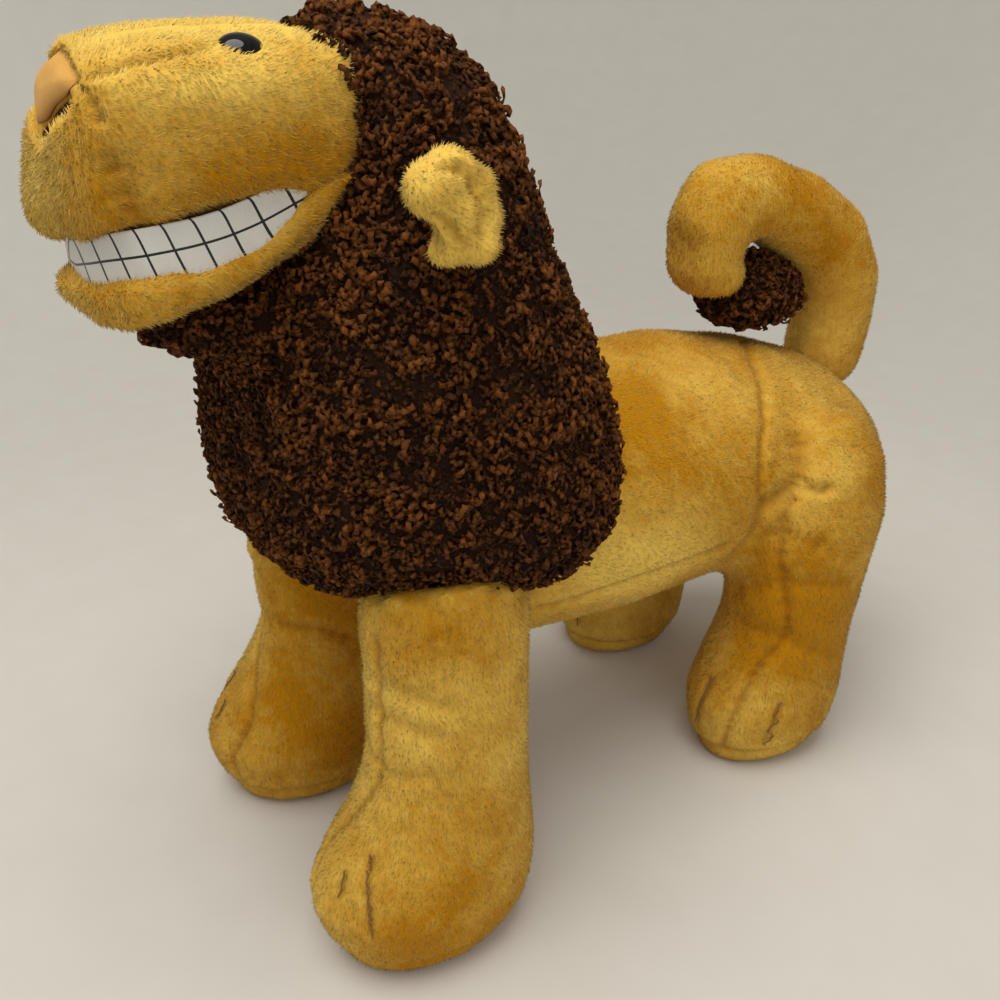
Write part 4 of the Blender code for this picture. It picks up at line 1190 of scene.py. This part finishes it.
def outside_of(places, others, depth):
    """True where a place is not deeper than `depth` inside one of the other skins."""
    free = np.ones(len(places), dtype=bool)
    for other in others:
        other.data.calc_loop_triangles()
        skin = tree_of(other)
        low, high = points_of(other).min(axis=0), points_of(other).max(axis=0)
        near = np.nonzero(free & ((places > low) & (places < high)).all(axis=1))[0]
        for i in near:
            place = Vector(places[i])
            found, way, _, _ = skin.find_nearest(place)
            if (place - found).dot(way) < -depth:
                free[i] = False
    return free


# %% Put many copies of one small shape into a single mesh
def planted_mesh(name, points, faces, normals, pile, material, body):
    mesh = bpy.data.meshes.new(name)
    mesh.vertices.add(len(points))
    mesh.vertices.foreach_set("co", points.astype(np.float32).ravel())
    mesh.loops.add(faces.size)
    mesh.loops.foreach_set("vertex_index", faces.astype(np.int32).ravel())
    mesh.polygons.add(len(faces))
    mesh.polygons.foreach_set("loop_start", np.arange(0, faces.size, 3, dtype=np.int32))
    mesh.update(calc_edges=True)
    mesh.validate()
    mesh.materials.append(material)
    mesh.shade_smooth()
    layer = mesh.attributes.new("pile", "FLOAT_VECTOR", "POINT")
    layer.data.foreach_set("vector", pile.astype(np.float32).ravel())
    if normals is not None:
        mesh.normals_split_custom_set_from_vertices(normals.astype(np.float32))
    piece = bpy.data.objects.new(name, mesh)
    scene.collection.objects.link(piece)
    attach(piece, body)
    return piece


# %% [markdown]
# A tuft of the pile is a thin three-sided spike. One is made from a cone, and its copies lean the way the
# cloth was brushed: back over the face and the body, down the legs, and along the tail. Tufts take the
# shading of the cloth under them, so that the pile looks soft and not like needles.

# %% Model one tuft
select_only()
bpy.ops.mesh.primitive_cone_add(
    vertices=3, radius1=1.0, radius2=0.0, depth=1.0, end_fill_type="NGON", location=(0, 0, 0.5),
)
bpy.ops.object.transform_apply(location=True, rotation=True, scale=True)
tuft_model = bpy.context.object
tuft_model.data.calc_loop_triangles()
TUFT_POINTS = points_of(tuft_model)
TUFT_FACES = np.array([list(t.vertices) for t in tuft_model.data.loop_triangles])
bpy.data.objects.remove(tuft_model)
print("one tuft:", len(TUFT_POINTS), "points,", len(TUFT_FACES), "faces")

PIECE_LIMIT = 190000  # the most triangles in one mesh
TUFT_ROOT_DEPTH, FLOOR_CLEARANCE = 0.0004, 0.0012
tufts_planted = 0


def grow_pile(
    name, piece, spacing, length, brushed, hidden=(), body="root", seed=1, lean=52.0, width=0.29, bare=None,
):
    """brushed(places) gives the way the pile lies. Lengths are in metres, and width is a radius in mm."""
    global tufts_planted
    place, normal, seam, draw = places_on(piece, spacing, seed)
    free = outside_of(place, hidden, 0.003) & (place[:, 2] > FLOOR_CLEARANCE)
    if bare is not None:
        free &= ~bare(place)
    place, normal, seam = place[free], normal[free], seam[free]
    count = len(place)
    turn = soft_noise(place, 0.016, seed + 1) * 0.7 + soft_noise(place, 0.0035, seed + 2) * 0.6
    way = unit(brushed(place) - normal * (brushed(place) * normal).sum(axis=1, keepdims=True))
    side = np.cross(normal, way)
    way = way * np.cos(turn)[:, None] + side * np.sin(turn)[:, None]
    clump = soft_noise(place, 0.0022, seed + 3)
    tilt = np.radians(np.clip(lean + clump * 18 + draw.normal(0, 9, count), 10, 80))
    rise = normal * np.cos(tilt)[:, None] + way * np.sin(tilt)[:, None]
    side = unit(np.cross(rise, way + normal * 0.01))
    front = np.cross(rise, side)
    tall = length * (1 + 0.25 * clump + draw.uniform(-0.2, 0.2, count)) * (1 - 0.55 * np.clip(seam, 0, 1))
    wide = width * 0.001 * draw.uniform(0.8, 1.3, count)
    start = place - normal * TUFT_ROOT_DEPTH
    x, y, z = TUFT_POINTS.T
    points = (
        start[:, None, :]
        + side[:, None, :] * (x[None, :] * wide[:, None])[:, :, None]
        + front[:, None, :] * (y[None, :] * wide[:, None])[:, :, None]
        + rise[:, None, :] * (z[None, :] * tall[:, None])[:, :, None]
    )
    pile = np.zeros((count, len(TUFT_POINTS), 3))
    # how near the tip each point is, for the painted shade at the roots and the painted highlight at the tips
    pile[:, :, 0] = z[None, :]
    pile[:, :, 1] = np.clip(nap_tone_and_painted_light(place, normal, NAP_SEED) + draw.normal(0, 0.07, count), 0, 1)[:, None]
    # the painted shade of a seam groove, less towards the tips
    pile[:, :, 2] = np.clip(seam, 0, 1)[:, None] * (1 - 0.5 * z[None, :])
    shading = unit(normal + way * 0.25 + draw.normal(0, 0.22, (count, 3)))
    shading = np.repeat(shading[:, None, :], len(TUFT_POINTS), axis=1)
    per_piece = PIECE_LIMIT // len(TUFT_FACES)
    pieces = math.ceil(count / per_piece)
    for part in range(pieces):
        chosen = slice(part * count // pieces, (part + 1) * count // pieces)
        number = chosen.stop - chosen.start
        faces = (
            TUFT_FACES[None, :, :] + (np.arange(number) * len(TUFT_POINTS))[:, None, None]
        ).reshape(-1, 3)
        planted_mesh(
            f"{name}_{part + 1}", points[chosen].reshape(-1, 3), faces, shading[chosen].reshape(-1, 3),
            pile[chosen].reshape(-1, 3), golden, body,
        )
    tufts_planted += count
    print(name, count, "tufts in", pieces, "pieces")


# %% Which way each piece is brushed
def brushed_back(places):
    way = np.tile([0.0, 1.0, -0.35], (len(places), 1))
    legs = np.clip((0.15 - places[:, 2]) / 0.05, 0, 1)[:, None]
    return way * (1 - legs) + np.array([0.0, 0.15, -1.0]) * legs


def brushed_down(places):
    return np.tile([0.0, 0.1, -1.0], (len(places), 1))


def brushed_face(places):
    return np.tile([0.0, 1.0, -0.45], (len(places), 1))


TAIL_LOOP_CENTRE = np.array([0.0, 0.138, 0.258])


def brushed_along_tail(places):
    """Round the loop, from the rump over the top towards the tip."""
    spoke = places - TAIL_LOOP_CENTRE
    return np.stack([np.zeros(len(places)), -spoke[:, 2], spoke[:, 1]], axis=1)


# %% Grow the pile
SHORT, LONG = 0.0023, 0.0026
BODY_SPACING, HEAD_SPACING = 0.00134, 0.00105
EYE_BARE_SIZE, SLIT_BARE_SIZE, NOSE_BARE_BEHIND = (0.0050, 0.0062, 0.02), 0.0022, -0.198

nostril_slits = np.vstack([laid_on(face, flip(NOSTRIL)) for flip in (list, mirrored)])


def bare_of_face(places):
    """No pile on the nose patch, in the nostril slits or over the eyes."""
    across = np.abs(places[:, 0])
    lower, upper = nose_edges(across)
    height = places[:, 2]
    on_nose = (across < NOSE_HALF_WIDTH + 0.0008) & (height > lower - 0.0018) & (height < upper + 0.0005)
    on_nose &= places[:, 1] < NOSE_BARE_BEHIND
    mirrored_places = np.column_stack([across, places[:, 1:]])
    on_eye = np.linalg.norm((mirrored_places - EYE_PLACE) / EYE_BARE_SIZE, axis=1) < 1
    on_slit = distance_to(places, nostril_slits)[0] < SLIT_BARE_SIZE
    return on_nose | on_eye | on_slit


grow_pile("trunk_pile", trunk, BODY_SPACING, SHORT, brushed_back, hidden=[mane, tail], seed=11)
for side, leg in front_legs.items():
    grow_pile(
        f"front_leg_{side}_pile", leg, BODY_SPACING, SHORT, brushed_down, hidden=[mane, trunk],
        seed=23 if side == "left" else 24,
    )
grow_pile(
    "face_pile", face, HEAD_SPACING, LONG, brushed_face, hidden=[mane, teeth], seed=31, bare=bare_of_face,
)
grow_pile("lip_pile", lip, HEAD_SPACING, LONG, brushed_face, hidden=[mane, teeth, face], seed=41)
grow_pile(
    "tail_pile", tail, BODY_SPACING, SHORT, brushed_along_tail, hidden=[trunk, tuft], body="tail", seed=51,
)
for side, ear in ears.items():
    grow_pile(
        f"ear_{side}_pile", ear, HEAD_SPACING, SHORT, brushed_face, hidden=[mane], body=f"ear_{side}",
        seed=61 if side == "left" else 62,
    )
print("tufts in all:", tufts_planted)

# %% [markdown]
# A curl of the mane is a short worm of yarn that leaves the cloth and turns back on itself. Six of them are
# extruded ring by ring, each turning its own way, and the mane is planted with turned and scaled copies.

# %% Model six curls
CURL_SIDES, CURL_STEPS, CURL_STEP, CURL_RADIUS = 3, 5, 0.00132, 0.00108
FIRST_STEP_LONGER, CURL_END_SIZE = 1.35, 0.55
BEND_LEAST, BEND_MOST = 28, 64  # degrees from one ring to the next


def model_curl(seed):
    """Returns the points and the triangles of one curl."""
    draw = np.random.default_rng(seed)
    select_only()
    bpy.ops.mesh.primitive_circle_add(
        vertices=CURL_SIDES, radius=CURL_RADIUS, fill_type="NGON", location=(0, 0, 0),
    )
    model = bpy.context.object
    bpy.ops.object.mode_set(mode="EDIT")
    bpy.ops.mesh.select_all(action="SELECT")
    heading, centre = Vector((0, 0, 1)), Vector((0, 0, 0))
    bend_axis = Vector((math.cos(seed), math.sin(seed), 0.0))
    for step in range(CURL_STEPS):
        move = heading * CURL_STEP * (1.0 if step else FIRST_STEP_LONGER)
        bpy.ops.mesh.extrude_region_move(TRANSFORM_OT_translate={"value": move})
        centre += move
        bend = math.radians(float(draw.uniform(BEND_LEAST, BEND_MOST)))
        turn = Matrix.Rotation(bend, 4, bend_axis)
        bpy.ops.transform.rotate(
            value=-bend, orient_axis="Z", orient_matrix=axis_frame(bend_axis), orient_matrix_type="GLOBAL",
            center_override=centre,
        )
        heading = turn @ heading
        bend_axis = (bend_axis + Vector(draw.uniform(-0.5, 0.5, 3))).normalized()
        bend_axis = (bend_axis - heading * bend_axis.dot(heading)).normalized()
        if step == CURL_STEPS - 1:
            bpy.ops.transform.resize(value=[CURL_END_SIZE] * 3, center_override=centre)
    bpy.ops.mesh.select_all(action="SELECT")
    bpy.ops.mesh.quads_convert_to_tris()
    bpy.ops.mesh.normals_make_consistent(inside=False)
    bpy.ops.object.mode_set(mode="OBJECT")
    points = points_of(model)
    faces = np.array([list(face.vertices) for face in model.data.polygons])
    bpy.data.objects.remove(model)
    return points, faces


def axis_frame(axis):
    """Three axes of which the last is the given one, for an operator's orientation."""
    other = Vector((0, 0, 1)) if abs(axis.z) < 0.9 else Vector((1, 0, 0))
    first = axis.cross(other).normalized()
    return (first, axis.cross(first).normalized(), axis.normalized())


CURLS = [model_curl(seed) for seed in range(1, 7)]
curl_heights = [round(float(curl_points[:, 2].max()) * 1000, 1) for curl_points, _ in CURLS]
print("curls of", [len(faces) for _, faces in CURLS], "triangles, and", curl_heights, "mm tall")


# %% Plant the curls
CLUMP_SIZE, CLUMP_RISE = 0.0052, 0.0012  # curls stand taller together in clumps of this size, and are painted lighter there, a painted highlight with darker gaps between
SHADE_SIZE = 0.012  # and change their shade over this size
CURL_ROOT_DEPTH, HIGHLIGHT_FULL_HEIGHT = 0.0008, 0.0048
CURL_TILT_MOST, CURL_TILT_LEAST = 45, 5  # degrees away from the cloth's own way out
HANGS = np.array([0.0, 0.15, -1.0])


def plant_curls(name, piece, spacing, hidden, body, seed, size=1.0, wanted=None):
    place, normal, _, draw = places_on(piece, spacing, seed)
    free = outside_of(place, hidden, 0.002)
    if wanted is not None:
        free &= wanted(place, normal)
    place, normal = place[free], normal[free]
    count = len(place)
    drop = unit(HANGS - normal * (HANGS * normal).sum(axis=1, keepdims=True))
    tilt = np.radians(draw.uniform(CURL_TILT_LEAST, CURL_TILT_MOST, count))
    rise = unit(
        normal * np.cos(tilt)[:, None] + drop * np.sin(tilt)[:, None] + draw.normal(0, 0.25, (count, 3))
    )
    spin = draw.uniform(0, 2 * np.pi, count)
    side = unit(np.cross(rise, drop + rise * 0.01))
    front = np.cross(rise, side)
    x_way = side * np.cos(spin)[:, None] + front * np.sin(spin)[:, None]
    y_way = np.cross(rise, x_way)
    clump = soft_noise(place, CLUMP_SIZE, seed + 6)
    scale = size * draw.uniform(0.8, 1.25, count) * (1 + 0.25 * clump)
    broad = soft_noise(place, SHADE_SIZE, seed + 5)
    # random tone, with a painted highlight on raised clumps and painted shade in the gaps between them
    shade = np.clip(0.56 + 0.25 * broad + 0.22 * clump + draw.normal(0, 0.22, count), 0, 1)
    kinds = draw.integers(0, len(CURLS), count)
    start = place + normal * (clump * CLUMP_RISE - CURL_ROOT_DEPTH)[:, None]
    all_points, all_faces, all_pile, offset = [], [], [], 0
    for kind, (curl_points, curl_faces) in enumerate(CURLS):
        mine = np.nonzero(kinds == kind)[0]
        grown = curl_points[None, :, :] * scale[mine][:, None, None]
        points = start[mine][:, None, :] + (
            x_way[mine][:, None, :] * grown[:, :, 0:1]
            + y_way[mine][:, None, :] * grown[:, :, 1:2]
            + rise[mine][:, None, :] * grown[:, :, 2:3]
        )
        height = ((points - place[mine][:, None, :]) * normal[mine][:, None, :]).sum(axis=2)
        pile = np.zeros((len(mine), len(curl_points), 3))
        # painted highlight: the higher a point stands above the cloth, the paler it is painted
        pile[:, :, 0] = np.clip(height / (HIGHLIGHT_FULL_HEIGHT * size), 0, 1)
        pile[:, :, 1] = shade[mine][:, None]
        faces = curl_faces[None, :, :] + offset + (np.arange(len(mine)) * len(curl_points))[:, None, None]
        offset += len(mine) * len(curl_points)
        all_points.append(points.reshape(-1, 3))
        all_pile.append(pile.reshape(-1, 3))
        all_faces.append(faces.reshape(-1, 3))
    points, pile, faces = np.vstack(all_points), np.vstack(all_pile), np.vstack(all_faces)
    pieces = math.ceil(len(faces) / PIECE_LIMIT)
    stride = len(CURLS[0][1])
    curls_each = math.ceil(count / pieces)
    for part in range(pieces):
        mine = faces[part * curls_each * stride : (part + 1) * curls_each * stride]
        first, last = mine.min(), mine.max() + 1
        planted_mesh(
            f"{name}_{part + 1}", points[first:last], mine - first, None, pile[first:last], yarn, body,
        )
    print(name, count, "curls in", pieces, "pieces,", len(faces), "triangles")


def under_the_lip(places, normals):
    return (normals[:, 2] < -0.30) & (places[:, 1] > -0.200) & (np.abs(places[:, 0]) < 0.034)


def behind_the_cheek(places, _normals):
    across, height = np.abs(places[:, 0]), places[:, 2]
    return (across > 0.026) & (height > 0.345) & (places[:, 1] > -0.1275 - (height - 0.3494) * 0.27)


plant_curls("mane_curls", mane, 0.0024, [trunk, face, lip, *front_legs.values()], "root", 71)
plant_curls("beard_curls", lip, 0.0030, [mane], "root", 76, size=1.2, wanted=under_the_lip)
plant_curls("collar_curls", face, 0.0026, [mane], "root", 78, wanted=behind_the_cheek)
plant_curls("tuft_curls", tuft, 0.0024, [tail], "tail", 81, size=1.2)

# %% [markdown]
# ## Toe threads
# Brown thread marks the toes. Each thread lies in the groove that was sewn for it, half sunk in the pile.


# %% Lay a thread in its groove
THREAD_RADIUS, THREAD_RISE = 0.00038, 0.0013


def lay_thread(name, piece, line, replaced):
    close = laid_on(piece, line, step=0.002)
    piece.data.calc_loop_triangles()
    skin = tree_of(piece)
    select_only()
    bpy.ops.curve.primitive_bezier_curve_add()
    thread = bpy.context.object
    thread.name = thread.data.name = name
    thread.data.splines.clear()
    spline = thread.data.splines.new("POLY")
    spline.points.add(len(close) - 1)
    for point, at in zip(spline.points, close):
        _, way, _, _ = skin.find_nearest(Vector(at))
        point.co = (*(Vector(at) + way * THREAD_RISE), 1.0)
    thread.data.dimensions = "3D"
    thread.data.bevel_depth = THREAD_RADIUS
    thread.data.bevel_resolution = 2
    thread.data.use_fill_caps = True
    thread.location = (0, 0, 0)
    select_only(thread)
    bpy.ops.object.convert(target="MESH")
    thread.data.materials.clear()
    thread.data.materials.append(thread_brown)
    thread.data.shade_smooth()
    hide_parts(replaced)
    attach(thread, "root")


for side, flip in (("left", list), ("right", mirrored)):
    for which, line in zip(("outer", "inner"), FRONT_TOES):
        lay_thread(
            f"front_toe_thread_{side}_{which}", front_legs[side], flip(line),
            f"front_leg_{side}_toe_stitch_{which}",
        )
    for which, line in zip(("inner", "outer"), HIND_TOES):
        lay_thread(
            f"hind_toe_thread_{side}_{which}", trunk, flip(line), f"hind_leg_{side}_toe_stitch_{which}",
        )

# %% [markdown]
# ## The studio
# The lion stands on a pale cloth-coloured floor that curves up into a wall behind it. One wide lamp hangs
# overhead, a weaker one stands behind the camera, and a pale world fills the shadows.


# %% Floor and wall
def studio_finish():
    finish = Finish("studio_cloth")
    slub = finish.noise(30.0, 2.0)
    cloth = finish.mix(slub, colour(214, 210, 201), colour(220, 217, 209))
    return finish.surface(Base_Color=cloth, Roughness=0.95, Specular_IOR_Level=0.1)


FLOOR_SIZE, WALL_HEIGHT, CURVE_RADIUS = 3.0, 3.0, 0.9

select_only()
bpy.ops.mesh.primitive_plane_add(size=FLOOR_SIZE, location=(0.0, 0.0, 0.0))
floor = bpy.context.object
floor.name = "studio_floor"
bpy.ops.object.mode_set(mode="EDIT")
bpy.ops.mesh.select_mode(type="EDGE")
for way in ((-1, 0), (0, 1)):  # the two sides that the camera looks towards rise into walls
    bpy.ops.mesh.select_all(action="DESELECT")
    bpy.ops.object.mode_set(mode="OBJECT")
    for edge in floor.data.edges:
        ends = [floor.data.vertices[i].co for i in edge.vertices]
        outer = [abs(end.x * way[0] + end.y * way[1] - FLOOR_SIZE / 2) < 1e-3 for end in ends]
        edge.select = all(outer) and all(abs(end.z) < 1e-3 for end in ends)
    bpy.ops.object.mode_set(mode="EDIT")
    bpy.ops.mesh.extrude_region_move(TRANSFORM_OT_translate={"value": (0, 0, WALL_HEIGHT)})
bpy.ops.mesh.select_all(action="SELECT")
bpy.ops.mesh.remove_doubles(threshold=1e-4)
bpy.ops.object.mode_set(mode="OBJECT")
apply_modifier(floor, "BEVEL", width=CURVE_RADIUS, segments=16, limit_method="ANGLE")
floor.data.shade_smooth()
floor.data.materials.append(studio_finish())


# %% Lamps and world
def lamp(name, place, target, size, power, tint):
    light = bpy.data.lights.new(name, "AREA")
    light.shape, light.size, light.energy, light.color = "DISK", size, power, tint
    obj = bpy.data.objects.new(name, light)
    scene.collection.objects.link(obj)
    obj.location = place
    obj.rotation_euler = (Vector(target) - Vector(place)).to_track_quat("-Z", "Y").to_euler()


lamp("overhead_lamp", (0.15, -0.35, 1.50), (0, 0, 0.2), 1.1, 15.2, (1.0, 0.98, 0.95))
lamp("fill_lamp", (1.3, -0.5, 0.8), (0, 0, 0.2), 1.3, 4.2, (0.97, 0.98, 1.0))

world = bpy.data.worlds.new("studio_world")
scene.world = world
world.use_nodes = True
world.node_tree.nodes["Background"].inputs["Color"].default_value = colour(206, 204, 200)
world.node_tree.nodes["Background"].inputs["Strength"].default_value = 0.55
scene.view_settings.view_transform = "Standard"
